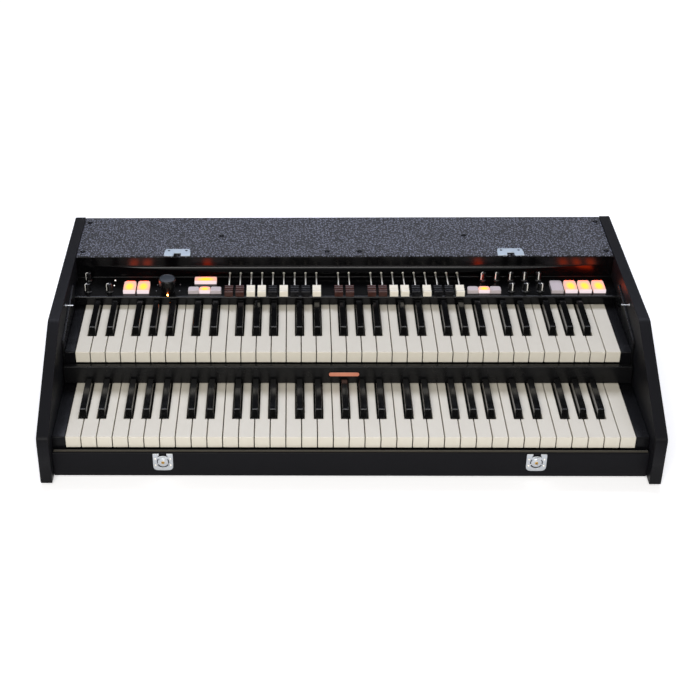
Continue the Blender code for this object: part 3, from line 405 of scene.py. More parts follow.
def lamp_acrylic(name, middle, rim, strength, falloff=1.0, milk=("#c9bfc0", "#bdb2b4"), front=None,
                 dark_below=None):
    """Milky acrylic, brightest in its middle; middle, rim and front are linear red, green, blue."""
    material, tree, shader, place = start_material(name, Roughness=0.3, IOR=1.49)
    across = add_node(tree, "TexCoord").outputs["Generated"]
    centred = add_node(tree, "VectorMath", {0: across, 1: (0.5, 0.43, 0.5)}, operation="SUBTRACT")
    flat = add_node(tree, "VectorMath", {0: centred, 1: (2.0 * falloff, 2.0 * falloff, 0.0)},
                    operation="MULTIPLY")
    away = add_node(tree, "VectorMath", {0: flat}, operation="LENGTH")
    haze = add_node(tree, "TexNoise", {"Vector": place, "Scale": 220.0, "Detail": 2.0})
    surface(tree, shader, haze, milk)
    near = add_node(tree, "MapRange",
                    {"Value": away, "From Min": 0.25, "From Max": 1.05, "To Min": 1.0,
                     "To Max": 0.0}, interpolation_type="SMOOTHSTEP")
    light = add_node(tree, "Mix", {0: near, 6: (*rim, 1), 7: (*middle, 1)}, data_type="RGBA")
    if front:
        # The near wall is the thickest milk in the light's way, so it glows nearly white.
        depth = add_node(tree, "SeparateXYZ", {0: across})
        near_wall = add_node(tree, "MapRange",
                             {"Value": depth.outputs[1], "From Min": 0.10, "From Max": 0.02})
        light = add_node(tree, "Mix", {0: near_wall, 6: light, 7: (*front, 1)}, data_type="RGBA")
        # The far wall faces the upright steel, which mirrors its red light.
        far_wall = add_node(tree, "MapRange",
                            {"Value": depth.outputs[1], "From Min": 0.965, "From Max": 0.985})
        light = add_node(tree, "Mix", {0: far_wall, 6: light, 7: (*LAMP_RED, 1)}, data_type="RGBA")
    if dark_below:
        height = add_node(tree, "SeparateXYZ", {0: place})
        above = add_node(tree, "MapRange",
                         {"Value": height.outputs[2], "From Min": dark_below - 0.0004,
                          "From Max": dark_below + 0.0004})
        light = add_node(tree, "Mix", {0: above, 6: (0, 0, 0, 1), 7: light}, data_type="RGBA")
    feed(tree, shader, Emission_Color=light)
    shader.inputs["Emission Strength"].default_value = strength
    return material


lit_acrylic = lamp_acrylic("lit_milky_acrylic", (12.0, 0.86, 0.02), (0.84, 0.50, 0.42), 1.0, 1.0,
                           ("#4c463a", "#453f34"), (0.86, 0.72, 0.76),
                           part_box("control_panel")[0].z + 0.0150)
# Unlit caps have their lamps off, yet their middle gets a faint painted glow.
unlit_acrylic_painted_glow = lamp_acrylic("unlit_milky_acrylic_painted_glow", (0.035, 0.02, 0.022), (0.0, 0.0, 0.0), 1.0)
badge_acrylic = lamp_acrylic("smoked_red_acrylic", (0.60, 0.24, 0.14), (0.44, 0.14, 0.08), 1.0, 0.9,
                             ("#5c4238", "#523a31"))
amber_epoxy = lamp_acrylic("lit_amber_epoxy", (60.0, 10.0, 1.6), (40.0, 5.0, 0.6), 1.0, 0.5)
white_epoxy = lamp_acrylic("lit_white_epoxy", (1.5, 1.45, 1.35), (0.8, 0.78, 0.74), 1.0, 0.5)
clear_epoxy = lamp_acrylic("unlit_grey_epoxy", (0.0, 0.0, 0.0), (0.0, 0.0, 0.0), 0.0, 1.0,
                           ("#3c3c40", "#333337"))
print("acrylic and epoxy made")

# %% [markdown]
# ## Tools for shapes
# Most pieces here are flat stock: boards, folded sheet and moulded blocks. They come from an
# outline that is extruded, and Blender's filled 2D curves make such outlines, holes included.
# Round pieces are turned on a lathe: rings of points around an axis. A piece given an edge width
# then gets a Bevel modifier with hardened normals, because in a real light only a rounded edge
# shows a highlight; the others are smoothed, with edges over 34 degrees kept sharp.

# %% Outlines, plate, lathe and piece
def fillet(corners, steps=4):
    """Outline with rounded corners; each corner is x, y and, where it is rounded, a radius."""
    points = []
    for index, corner in enumerate(corners):
        spot = Vector(corner[:2])
        if len(corner) < 3:
            points.append(tuple(spot))
            continue
        before = (Vector(corners[index - 1][:2]) - spot).normalized() * corner[2]
        after = (Vector(corners[(index + 1) % len(corners)][:2]) - spot).normalized() * corner[2]
        for step in range(steps + 1):
            t = step / steps
            points.append(tuple(spot + before * (1 - t) ** 2 + after * t ** 2))
    return points


def circle(x, y, radius, sides=20):
    """Round outline, for a hole or a disc."""
    return [(x + radius * math.cos(2 * math.pi * k / sides),
             y + radius * math.sin(2 * math.pi * k / sides)) for k in range(sides)]


def rectangle(x0, y0, x1, y1, radius=None):
    """Rectangular outline, with rounded corners if a radius is given."""
    corners = [(x0, y0), (x1, y0), (x1, y1), (x0, y1)]
    return fillet([(*corner, radius) for corner in corners]) if radius else corners


def mirrored(x, half):
    """Outline that is alike on both sides of x; half is its right side, measured from x."""
    return ([(x + corner[0], *corner[1:]) for corner in half]
            + [(x - corner[0], *corner[1:]) for corner in reversed(half)])


SIDES = ((-1, "left"), (1, "right"))

# An outline lies in the plane across this axis: X means y and z, Y means x and z, Z means x and y.
PLANES = {
    "X": Matrix(((0, 0, 1, 0), (1, 0, 0, 0), (0, 1, 0, 0), (0, 0, 0, 1))),
    "Y": Matrix(((1, 0, 0, 0), (0, 0, 1, 0), (0, 1, 0, 0), (0, 0, 0, 1))),
    "Z": Matrix.Identity(4),
}


def plate(loops, low, high, axis="Z"):
    """Flat stock from low to high along an axis; the first loop is its edge, others holes."""
    curve = bpy.data.curves.new("outline", "CURVE")
    curve.dimensions = "2D"
    curve.fill_mode = "BOTH"
    curve.extrude = (high - low) / 2
    for loop in loops:
        spline = curve.splines.new("POLY")
        spline.points.add(len(loop) - 1)
        for point, (across, up) in zip(spline.points, loop):
            point.co = (across, up, 0, 1)
        spline.use_cyclic_u = True
    holder = bpy.data.objects.new("outline", curve)
    scene.collection.objects.link(holder)
    mesh = bpy.data.meshes.new_from_object(
        holder.evaluated_get(bpy.context.evaluated_depsgraph_get()))
    bpy.data.objects.remove(holder)
    bm = bmesh.new()
    bm.from_mesh(mesh)
    bmesh.ops.remove_doubles(bm, verts=bm.verts, dist=0.000005)
    bmesh.ops.dissolve_limit(bm, angle_limit=0.01, verts=bm.verts, edges=bm.edges)
    bm.transform(PLANES[axis] @ Matrix.Translation((0, 0, (low + high) / 2)))
    bmesh.ops.recalc_face_normals(bm, faces=bm.faces)
    return mesh_from(bm, "flat_stock")


def block(low, high):
    """Mesh of a plain block between two corners, to be rounded by its bevel."""
    return plate([rectangle(low[0], low[1], high[0], high[1])], low[2], high[2])


def lathe(rings, sides, place=(0, 0, 0), axis="Z", flutes=0, scale=0.001):
    """Turned mesh; a ring is radius, height and perhaps its flutes' depth, in mm by default."""
    turn = {"X": spin(90, "Y"), "Y": spin(90, "X"), "Z": Matrix.Identity(4)}[axis]
    bm = bmesh.new()
    loops = []
    for ring in rings:
        radius, height, depth = (scale * value for value in (*ring, 0)[:3])
        if radius == 0:
            loops.append([bm.verts.new((0, 0, height))] * sides)
            continue
        loop = []
        for k in range(sides):
            angle = 2 * math.pi * k / sides
            reach = radius - depth * (0.5 - 0.5 * math.cos(flutes * angle))
            loop.append(bm.verts.new((reach * math.cos(angle), reach * math.sin(angle), height)))
        loops.append(loop)
    for upper, lower in zip(loops, loops[1:]):
        for k in range(sides):
            quad = [upper[k], lower[k], lower[(k + 1) % sides], upper[(k + 1) % sides]]
            bm.faces.new(list(dict.fromkeys(quad)))
    bm.transform(Matrix.Translation(place) @ turn)
    bmesh.ops.recalc_face_normals(bm, faces=bm.faces)
    return mesh_from(bm, "turned")


def gathered(meshes):
    """Several meshes in one."""
    bm = bmesh.new()
    for mesh in meshes:
        bm.from_mesh(mesh)
    return mesh_from(bm, "gathered")


def carved(mesh, cutter):
    """The mesh with the cutter's shape taken out of it."""
    pair = [bpy.data.objects.new("carving", m) for m in (mesh, cutter)]
    for obj in pair:
        scene.collection.objects.link(obj)
    cut = pair[0].modifiers.new("cut", "BOOLEAN")
    cut.object = pair[1]
    cut.solver = "EXACT"
    result = bpy.data.meshes.new_from_object(
        pair[0].evaluated_get(bpy.context.evaluated_depsgraph_get()))
    for obj in pair:
        bpy.data.objects.remove(obj)
    return result


def piece(name, mesh, material, body="cabinet", edge=0.0, steps=2, stands_for=()):
    """Finished object: rounded, smoothed, riding on its body."""
    mesh.name = name
    # A mesh made from a curve keeps the curve's texture space; the gradients need its own.
    mesh.use_auto_texspace = True
    obj = bpy.data.objects.new(name, mesh)
    scene.collection.objects.link(obj)
    mesh.materials.clear()
    mesh.materials.append(material)
    mesh.polygons.foreach_set("use_smooth", [True] * len(mesh.polygons))
    if edge:
        bevel = obj.modifiers.new("rounded_edges", "BEVEL")
        bevel.width = edge
        bevel.segments = steps
        bevel.limit_method = "ANGLE"
        bevel.angle_limit = math.radians(28)
        bevel.harden_normals = True
    else:
        mesh.set_sharp_from_angle(angle=math.radians(34))
    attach(obj, body)
    for node in stands_for:
        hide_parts(node)
    return obj


def flank(name, side, shape, near, far, material, **looks):
    """Flat stock on one side of the organ, from near to far of its middle."""
    start, end = sorted((side * near, side * far))
    piece(name, plate([fillet(shape)], start, end, "X"), material, **looks)


print("shape tools ready")

# %% [markdown]
# ## Cheeks
# The two cheeks are 18 mm boards that carry everything else. A straight cut slopes their front
# corner down to the keys. The cut is a five-sided outline in side view. A player carries the
# organ by them, so their outer edge is rounded to 5 mm, and a bevel weight keeps the inner edge
# at 1.5 mm. The wide rounding gives the long soft shade that runs up the slope.

# %% Cheeks
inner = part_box("right_cheek")[0].x
for name in ("left_cheek", "right_cheek"):
    low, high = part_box(name)
    slope_end = low.y + 0.185
    outline = fillet([(low.y, low.z), (high.y, low.z), (high.y, high.z, 0.0025),
                      (slope_end, high.z, 0.006), (low.y, low.z + 0.080, 0.007)])
    cheek = piece(name + "_board", plate([outline], low.x, high.x, "X"), satin_lacquer,
                  edge=0.005, steps=5, stands_for=[name])
    weights = cheek.data.attributes.new("bevel_weight_edge", "FLOAT", "EDGE")
    for edge, weight in zip(cheek.data.edges, weights.data):
        ends = [abs(cheek.data.vertices[index].co.x) for index in edge.vertices]
        if max(ends) - min(ends) < 0.001:
            weight.value = 1.0 if ends[0] > inner + 0.009 else 0.3
    cheek.modifiers["rounded_edges"].limit_method = "WEIGHT"
print("cheeks at", round(inner, 4), "from the middle")

# %% [markdown]
# ## Top board with its catch plates and screws
# The board over the electronics is notched where each lid latch hooks in, so its outline in plan
# has two small bites, cut together with the board. The steel of the panel covers its front edge
# later. Eight black countersunk screws hold it down. Each head is turned, and a Boolean cuts a
# cross into it.

# %% Top board
low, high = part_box("top_board")
board_front, board_back, board_top = low.y + 0.0020, high.y, 0.174
catch_x, bite, bite_deep = 0.275, 0.006, 0.009
outline = mirrored(0, [(catch_x - bite, board_front), (catch_x - bite, board_front + bite_deep),
                       (catch_x + bite, board_front + bite_deep), (catch_x + bite, board_front),
                       (high.x, board_front), (high.x, board_back)])
piece("top_board_panel", plate([outline], low.z, board_top), structured_paint,
      edge=0.0008, steps=3, stands_for=["top_board"])
print("top board", round(high.x - low.x, 4), "wide, top at", board_top)


# %% Catch plates
def catch_plate(side, label):
    """Two-step plate with a notch for the latch's hook and two small screws."""
    x, y, z = side * catch_x, board_front, board_top
    lower = mirrored(x, [(bite, y + bite_deep), (bite, y - 0.0008), (0.02175, y - 0.0008),
                         (0.0205, y + 0.0235, 0.004)])
    raised = mirrored(x, [(bite, y + bite_deep), (bite, y - 0.0008), (0.02175, y - 0.0010),
                          (0.02175, y + 0.0125, 0.002)])
    name = "catch_plate_" + label
    piece(name, plate([fillet(lower)], z, z + 0.0009), zinc, edge=0.0003)
    piece(name + "_lip", plate([fillet(raised)], z + 0.0007, z + 0.0015), zinc, edge=0.0003)
    for dx, letter in ((-0.0145, "a"), (0.0145, "b")):
        head = lathe([(0, 0.4), (1.6, 0.3), (2.2, 0)], 20, (x + dx, y + 0.0175, z + 0.0009))
        piece("%s_screw_%s" % (name, letter), head, black_oxide)


for side, label in SIDES:
    catch_plate(side, label)
print("catch plates at plus and minus", catch_x)


# %% Countersunk screws
def cross_head(radius):
    """Mesh of a countersunk head with a cross cut into it."""
    profile = ((0, 0.10), (0.45, 0.09), (0.85, 0.02), (1, -0.05), (0.45, -0.6), (0, -0.6))
    head = lathe(profile, 32, scale=radius)
    arm, wide = 0.62 * radius, 0.11 * radius
    cross = mirrored(0, [(wide, -arm), (wide, -wide), (arm, -wide), (arm, wide), (wide, wide),
                         (wide, arm)])
    return carved(head, plate([cross], -0.42 * radius, 0.4 * radius))


def screw(name, spot, radius, turn_deg=0, facing=Matrix.Identity(4)):
    """Countersunk screw, turned as its driver left it."""
    mesh = cross_head(radius)
    mesh.transform(spin(turn_deg, "Z"))
    mesh.transform(Matrix.Translation(spot) @ facing)
    piece(name, mesh, black_oxide)


board_screws = [(side * x, y, board_top + 0.0006) for x, y in
                ((0.4331, 0.2455), (0.4331, 0.1420), (0.204, 0.1970), (0.0269, 0.1420))
                for side in (-1, 1)]
for number, spot in enumerate(board_screws, 1):
    screw("board_screw_%d" % number, spot, 0.00475, 37 * number)
print(len(board_screws), "board screws")

# %% [markdown]
# ## Front rail, felt and latches
# The rail closes the front below the keys. Its outline in side view has the step that leaves room
# for the keys to dip. A felt strip lies along its top. Each latch is a stamped plate with a hook
# opening, a bail that bridges it, and a round lock. One filled outline with inner loops gives the
# plate with all its openings at once.

# %% Front rail with its felt
low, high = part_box("front_rail")
rail_front, rail_back, rail_top = -0.244, high.y, 0.045
rail_foot, rebate, rebate_front = low.z - 0.0010, 0.0300, rail_front + 0.007
for vertex in frame["nodes"]["front_rail"].data.vertices:
    if abs(vertex.co.y - rebate_front) < 0.0005 and vertex.co.z < rail_top - 0.005:
        rebate = vertex.co.z
profile = fillet([(rail_front, rail_foot, 0.0006), (rail_back, rail_foot), (rail_back, rebate),
                  (rebate_front, rebate), (rebate_front, rail_top),
                  (rail_front, rail_top, 0.0025)])
piece("front_rail_board", plate([profile], low.x, high.x, "X"), satin_lacquer, edge=0.0006,
      stands_for=["front_rail"])
felt = fillet([(rail_front + 0.0032, rail_top - 0.0002), (rail_front + 0.0068, rail_top - 0.0002),
               (rail_front + 0.0068, rail_top + 0.0015, 0.0006),
               (rail_front + 0.0032, rail_top + 0.0015, 0.0006)])
piece("rail_felt", plate([felt], -0.4405, 0.4405, "X"), wool_felt)
print("rail rebate at", round(rebate, 4))


# %% Latches
LATCH_X = 0.2773


def ring_piece(centre, inside, outside, start_deg, end_deg, steps=18):
    """Outline of a curved slot: part of a ring between two angles."""
    def along(radius, angles):
        return [(centre[0] + radius * math.cos(math.radians(a)),
                 centre[1] + radius * math.sin(math.radians(a))) for a in angles]
    angles = [start_deg + (end_deg - start_deg) * k / steps for k in range(steps + 1)]
    return along(outside, angles) + along(inside, reversed(angles))


def latch(side, label):
    """Stamped suitcase latch: plate, bail, lock with a keyhole, and rivets."""
    x, foot, y = side * LATCH_X, 0.0140, rail_front
    middle = foot + 0.015
    name = "latch_" + label
    edge = fillet([(x - 0.0150, foot + 0.030, 0.0012), (x - 0.0150, foot, 0.008),
                   (x + 0.0150, foot, 0.008), (x + 0.0150, foot + 0.030, 0.0012),
                   (x + 0.0056, foot + 0.030), (x + 0.0056, foot + 0.0268),
                   (x + 0.0070, foot + 0.0262), (x + 0.0070, foot + 0.0240),
                   (x - 0.0070, foot + 0.0240), (x - 0.0070, foot + 0.0262),
                   (x - 0.0056, foot + 0.0268), (x - 0.0056, foot + 0.030)])
    below = ring_piece((x, middle), 0.0080, 0.0098, -150, -30)
    right = ring_piece((x, middle), 0.0080, 0.0093, -18, 38, 8)
    left = ring_piece((x, middle), 0.0080, 0.0093, 142, 198, 8)
    piece(name, plate([edge, below, right, left], y - 0.0015, y + 0.0003, "Y"), stamped,
          edge=0.0004)
    bail = ring_piece((x, middle - 0.0030), 0.0137, 0.0150, 62, 118)
    piece(name + "_bail", plate([bail], y - 0.0026, y - 0.0012, "Y"), stamped, edge=0.0005)
    face = lathe([(0, 1.1), (2.4, 1.1), (2.6, 2.4), (4.4, 2.5), (5.2, 2), (6.6, 1.9), (7.1, 1.4),
                  (7.2, 0)], 40, (x, y - 0.0004, middle), "Y")
    piece(name + "_lock", face, stamped)
    barrel = lathe([(0, 2.1), (2, 2.2), (2.4, 1.8), (2.4, 0)], 28, (x, y - 0.0006, middle), "Y")
    piece(name + "_cylinder", barrel, brass)
    keyhole = gathered([plate([circle(x, middle + 0.0003, 0.0008)], y - 0.0030, y - 0.00275, "Y"),
                        plate([rectangle(x - 0.0004, middle - 0.0014, x + 0.0004,
                                         middle + 0.0002)], y - 0.0030, y - 0.00276, "Y")])
    piece(name + "_keyhole", keyhole, nylon)
    for number, dx, dz in ((834, -0.0113, 0.006), (286, 0.0113, 0.006), (719, -0.0113, -0.0055),
                           (171, 0.0113, -0.0055)):
        rivet = lathe([(0, 0.9), (0.8, 0.8), (1.3, 0.4), (1.5, 0)], 20,
                      (x + dx, y - 0.0015, middle + dz), "Y")
        piece("%s_rivet_%d" % (name, number), rivet, nickel)


for side, label in SIDES:
    latch(side, label)
print("latches on the rail at plus and minus", LATCH_X)

# %% [markdown]
# ## Bottom board, feet and back panel
# Few people see these, but a buyer turns the organ over. The floor is a flat black board on four
# turned rubber feet, each held by a screw in its cup. The back panel is a thin board with a mains
# inlet and six jack sockets. Its outline has seven holes, and each fitting is a piece of its own.

# %% Bottom board and feet
low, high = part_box("bottom_board")
board_low = 0.004
piece("bottom_board_panel", block((low.x, low.y, board_low), (high.x, high.y, high.z)), flat_black,
      edge=0.0008, stands_for=["bottom_board"])
foot_x = high.x - 0.045
foot_rows = (low.y - 0.0003 + 0.045, high.y + 0.0003 - 0.045)
feet = [(side * foot_x, row) for side in (-1, 1) for row in foot_rows]
for number, (x, y) in enumerate(feet, 1):
    foot = lathe([(0, 2.2), (5, 2.2), (5.4, 0.4), (6.2, 0), (11.2, 0), (12.4, 0.5), (13, 1.6),
                  (13, 3.6), (12.6, 1000 * board_low), (0, 1000 * board_low)], 40, (x, y, 0))
    piece("rubber_foot_%d" % number, foot, rubber)
    screw("foot_screw_%d" % number, (x, y, 0.0019), 0.0036, facing=spin(180, "X"))
print("feet at", round(foot_x, 4))

# %% Back panel, inlet and jack sockets
TO_THE_BACK = spin(-90, "X")
low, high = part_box("back_panel")
inlet_x, socket_z = -0.360, 0.060
jack_x = [0.160 + 0.030 * k for k in range(6)]
holes = [rectangle(inlet_x - 0.014, socket_z - 0.010, inlet_x + 0.014, socket_z + 0.010)]
holes += [circle(x, socket_z, 0.005) for x in jack_x]
edge = rectangle(low.x, low.z, high.x, high.z)
piece("back_board", plate([edge, *holes], low.y, high.y, "Y"), flat_black, edge=0.0004,
      stands_for=["back_panel"])
y = high.y
rim = plate([rectangle(inlet_x - 0.0175, socket_z - 0.0135, inlet_x + 0.0175, socket_z + 0.0135,
                       0.002),
             [(inlet_x + dx, socket_z + dz) for dx, dz in (
                 (-0.0122, -0.0082), (0.0122, -0.0082), (0.0122, 0.0042), (0.0078, 0.0082),
                 (-0.0078, 0.0082), (-0.0122, 0.0042))]], y - 0.0040, y + 0.0009, "Y")
piece("mains_inlet", rim, nylon, edge=0.0004)
piece("mains_inlet_floor", block((inlet_x - 0.0130, y - 0.0045, socket_z - 0.0092),
                                 (inlet_x + 0.0130, y - 0.0036, socket_z + 0.0092)), nylon,
      edge=0.0003)
for number, (dx, dz) in enumerate(((-0.007, -0.002), (0.0, 0.0025), (0.007, -0.002)), 1):
    piece("mains_pin_%d" % number, block((inlet_x + dx - 0.001, y - 0.0038, socket_z + dz - 0.002),
                                         (inlet_x + dx + 0.001, y - 0.0006, socket_z + dz + 0.002)),
          nickel, edge=0.0004)
for number, x in enumerate(jack_x, 1):
    hexagon = [(x + 0.0068 * math.cos(math.radians(60 * k + 30)),
                socket_z + 0.0068 * math.sin(math.radians(60 * k + 30))) for k in range(6)]
    piece("jack_nut_%d" % number, plate([hexagon, circle(x, socket_z, 0.0046)], y - 0.0002,
                                        y + 0.0009, "Y"), nickel, edge=0.0003)
    bush = lathe([(3.3, -3.8), (3.3, 0.7), (3.6, 1), (4.4, 0.9), (4.6, 0.4), (4.6, -3.8)], 32)
    cup = lathe([(0, -3.6), (3.3, -3.6), (3.3, -3.9), (0, -3.9)], 24)
    for part, mesh, material in (("bush", bush, nickel), ("cup", cup, nylon)):
        mesh.transform(Matrix.Translation((x, y, socket_z)) @ TO_THE_BACK)
        piece("jack_%s_%d" % (part, number), mesh, material)
back_screws = [(side * x, y + 0.0001, z) for x in (0.428, 0.143) for side in (-1, 1)
               for z in (0.020, 0.140)]
for number, spot in enumerate(back_screws, 1):
    screw("back_screw_%d" % number, spot, 0.0032, 29 * number, TO_THE_BACK)
print("back panel with", len(jack_x), "jacks and an inlet")

# %% [markdown]
# ## Keybeds
# Each keyboard sits in a folded steel chassis between two moulded end blocks. The chassis is one
# profile, run the whole width: on the upper keyboard its front is the glossy fascia with a ledge
# on top. Small radii at the folds matter more than anything else here, because each fold draws a
# thin line of light across the whole picture. Felt lines the guide rails where the keys land.

# %% Folded chassis
block_inner = 0.4233
WALL = 0.004  # thickness of the chassis
SHARP_FRONT = 0.049  # a sharp starts this far behind the lips of the naturals


def chassis(prefix, lip, top, foot, back, front, half, edge):
    """Folded keybed with the given front, and felt on the guide rail that stops its keys."""
    stop, rail_z, sheet = lip + 0.035, top - 0.0165 - 0.0012, foot + WALL
    profile = [front[0], (back, foot, 0.002), (back, top - 0.002), (back - WALL, top - 0.002),
               (back - WALL, sheet), (stop + 0.008, sheet), (stop + 0.008, rail_z, 0.001),
               (stop, rail_z, 0.001), (stop, sheet), *front[1:]]
    piece(prefix + "_chassis", plate([fillet(profile)], -half, half, "X"), powder_coat, edge=edge,
          stands_for=[prefix + "_keybed"])
    piece(prefix + "_guide_felt", block((-block_inner + 0.001, stop + 0.0008, rail_z),
                                        (block_inner - 0.001, stop + 0.0072, rail_z + 0.001)),
          guide_felt, edge=0.0002)


print("end blocks start at", block_inner)

# %% Lower keybed
low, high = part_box("lower_keybed")
lower_lip, lower_top = low.y, high.z
front = [(low.y, low.z), (low.y, low.z + WALL)]
chassis("lower", lower_lip, lower_top, low.z, high.y - 0.0003, front, block_inner, 0.0004)
shape = [(lower_lip, rebate + 0.0003), (low.y + 0.001, rebate + 0.0003),
         (low.y + 0.001, low.z + 0.001), (high.y, low.z + 0.001), (high.y, lower_top),
         (lower_lip, lower_top, 0.0022)]
for side, label in SIDES:
    flank("lower_end_block_" + label, side, shape, block_inner, high.x, block_abs, edge=0.0009,
          steps=3, stands_for=["lower_keybed"])
print("lower keybed, tops at", round(lower_top, 4))

# %% Upper keybed
low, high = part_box("upper_keybed")
# The sharps' box shows where the lips of the naturals are.
upper_lip, upper_top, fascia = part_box("upper_sharps")[0].y - SHARP_FRONT, 0.1180, low.y
face, ledge, back = fascia - 0.0026, upper_top - 0.0195, upper_lip + 0.1967
front = [(face, low.z, 0.0008), (face + WALL, low.z + WALL), (face + WALL, ledge - WALL),
         (face + 0.0088, ledge - WALL), (face + 0.0088, ledge, 0.0004), (face, ledge, 0.0009)]
chassis("upper", upper_lip, upper_top, low.z, back, front, high.x - 0.0012, 0.0003)
shape = [(upper_lip, low.z + 0.001), (back, low.z + 0.001), (back, upper_top),
         (upper_lip, upper_top, 0.0022)]
wedge = [(upper_lip + 0.002, low.z + 0.002), (upper_lip + 0.1397, low.z + 0.002),
         (upper_lip + 0.1397, high.z, 0.001), (upper_lip + 0.002, 0.135, 0.004)]
for side, label in SIDES:
    flank("upper_end_block_" + label, side, shape, block_inner, high.x - 0.0031, block_abs,
          edge=0.0009, steps=3, stands_for=["upper_keybed"])
    flank("end_plate_" + label, side, wedge, high.x - 0.0030, high.x, powder_coat, edge=0.0005,
          stands_for=["upper_keybed"])
print("upper keybed, fascia at", round(face, 4))

# %% [markdown]
# ## The lamp badge
# The real fascia has a small lit badge in its middle, which throws a red glow on the keys below.
# Here a plain pill of smoked red acrylic takes its place, with nothing written on it.

# %% Plain lit badge on the fascia
BADGE = (-0.0275, 0.0818, 0.0195, 0.0885)


def pill(grown, radius):
    """Outline of the badge, grown on every side."""
    left, low, right, high = BADGE
    return rectangle(left - grown, low - grown, right + grown, high + grown, radius)


piece("fascia_lamp", plate([pill(0, 0.0033)], face - 0.0009, face + 0.0005, "Y"), badge_acrylic,
      edge=0.0005, steps=3)
piece("fascia_lamp_bezel", plate([pill(0.0014, 0.0046), pill(0.0001, 0.0034)], face - 0.0006,
                                 face + 0.0004, "Y"), block_abs, edge=0.0003)
print("badge mm", [round((BADGE[k + 2] - BADGE[k]) * 1000, 1) for k in (0, 1)])

# %% [markdown]
# ## Keys
# Each keyboard has 61 keys: 36 ivory waterfall naturals, whose fronts drop square to the rail,
# and 25 black sharps. The real keys are moulded apart but hang in sets on the same rear bars, so
# each one is a separate piece here and rides with its set. The plan comes from how keyboards are
# laid out: heads are equally wide, and behind them the tails share what the sharps leave. A key
# is a flat plan pushed up, with its front skirt pushed down, and a 0.9 mm rounding all round.

# %% Plan of the keys
PITCH, GAP, SHARP_SLOT = 0.0235, 0.0013, 0.0143
PLATE_THICK, SKIRT_DROP, SHARP_BACK, PIVOT_BACK = 0.007, 0.012, 0.1385, 0.187


def key_plan():
    """Letter, head and tail of every natural, and the middle of every sharp."""
    naturals, sharps, left = [], [], -18 * PITCH
    for letters in ["CDE", "FGAB"] * 5:
        count = len(letters)
        tail = (count * PITCH - (count - 1) * SHARP_SLOT) / count
        for k, letter in enumerate(letters):
            head = (left + k * PITCH + GAP / 2, left + (k + 1) * PITCH - GAP / 2)
            start = left + k * (tail + SHARP_SLOT)
            naturals.append((letter, head, (max(start, head[0]), min(start + tail, head[1]))))
            if k < count - 1:
                sharps.append(start + tail + SHARP_SLOT / 2)
        left += count * PITCH
    head = (left + GAP / 2, left + PITCH - GAP / 2)
    return naturals + [("C", head, head)], sharps


naturals, sharps = key_plan()
print(len(naturals), "naturals and", len(sharps), "sharps to a keyboard")


# %% One natural and one sharp
def natural_mesh(head, tail, lip, back, top):
    """Waterfall key: a 7 mm plate with a full-width head and a skirt at its front."""
    step, skirt = lip + 0.0475, lip + 0.0045
    outline = [(head[0], skirt), (head[1], skirt)]
    if tail[1] < head[1] - 0.0001:
        outline += [(head[1], step), (tail[1], step)]
    outline += [(tail[1], back), (tail[0], back)]
    if tail[0] > head[0] + 0.0001:
        outline += [(tail[0], step), (head[0], step)]
    bm = bmesh.new()
    verts = [bm.verts.new((x, y, top - PLATE_THICK)) for x, y in outline]
    front = [bm.verts.new((x, lip, top - PLATE_THICK)) for x in head]
    rear = bm.faces.new(verts)
    strip = bm.faces.new([front[0], front[1], verts[1], verts[0]])
    raised = bmesh.ops.extrude_face_region(bm, geom=[rear, strip], use_keep_orig=True)["geom"]
    bmesh.ops.translate(bm, vec=(0, 0, PLATE_THICK),
                        verts=[v for v in raised if isinstance(v, bmesh.types.BMVert)])
    low = bmesh.ops.extrude_face_region(bm, geom=[strip])["geom"]
    bmesh.ops.translate(bm, vec=(0, 0, -SKIRT_DROP),
                        verts=[v for v in low if isinstance(v, bmesh.types.BMVert)])
    bmesh.ops.recalc_face_normals(bm, faces=bm.faces)
    return mesh_from(bm, "natural")


def sharp_mesh(middle, lip, top):
    """Drafted black key: wide root, narrow top, sloped front."""
    front, back = lip + SHARP_FRONT, lip + SHARP_BACK
    bm = bmesh.new()
    bmesh.ops.create_cube(bm, size=1)
    for vertex in bm.verts:
        upper = vertex.co.z > 0
        half = 0.0048 if upper else 0.0059
        ahead = front + (0.007 if upper else 0.0)
        vertex.co = (middle + math.copysign(half, vertex.co.x), ahead if vertex.co.y < 0 else back,
                     top + 0.012 if upper else top - 0.008)
    return mesh_from(bm, "sharp")


def arm_mesh(middle, start, end, high, low):
    """Sloping arm from a key's tail down to its set's bar."""
    return plate([[(start, high - 0.0021), (end, low - 0.0021), (end, low + 0.0021),
                   (start, high + 0.0021)]], middle - 0.004, middle + 0.004, "X")


print("a natural has", len(natural_mesh((0, 0.0225), (0, 0.0137), 0, 0.18, 0).vertices), "points")


# %% Both keyboards
def bar_mesh(lip, height):
    """Rear bar of one key set with its two pivot pins."""
    half = block_inner - 0.0006
    pins = [lathe([(0, -7), (2, -7), (2, 7), (0, 7)], 16,
                  (side * half, lip + PIVOT_BACK, height), "X") for side in (-1, 1)]
    return gathered([block((-half, lip + 0.182, height - 0.0035),
                           (half, lip + 0.192, height + 0.0035)), *pins])


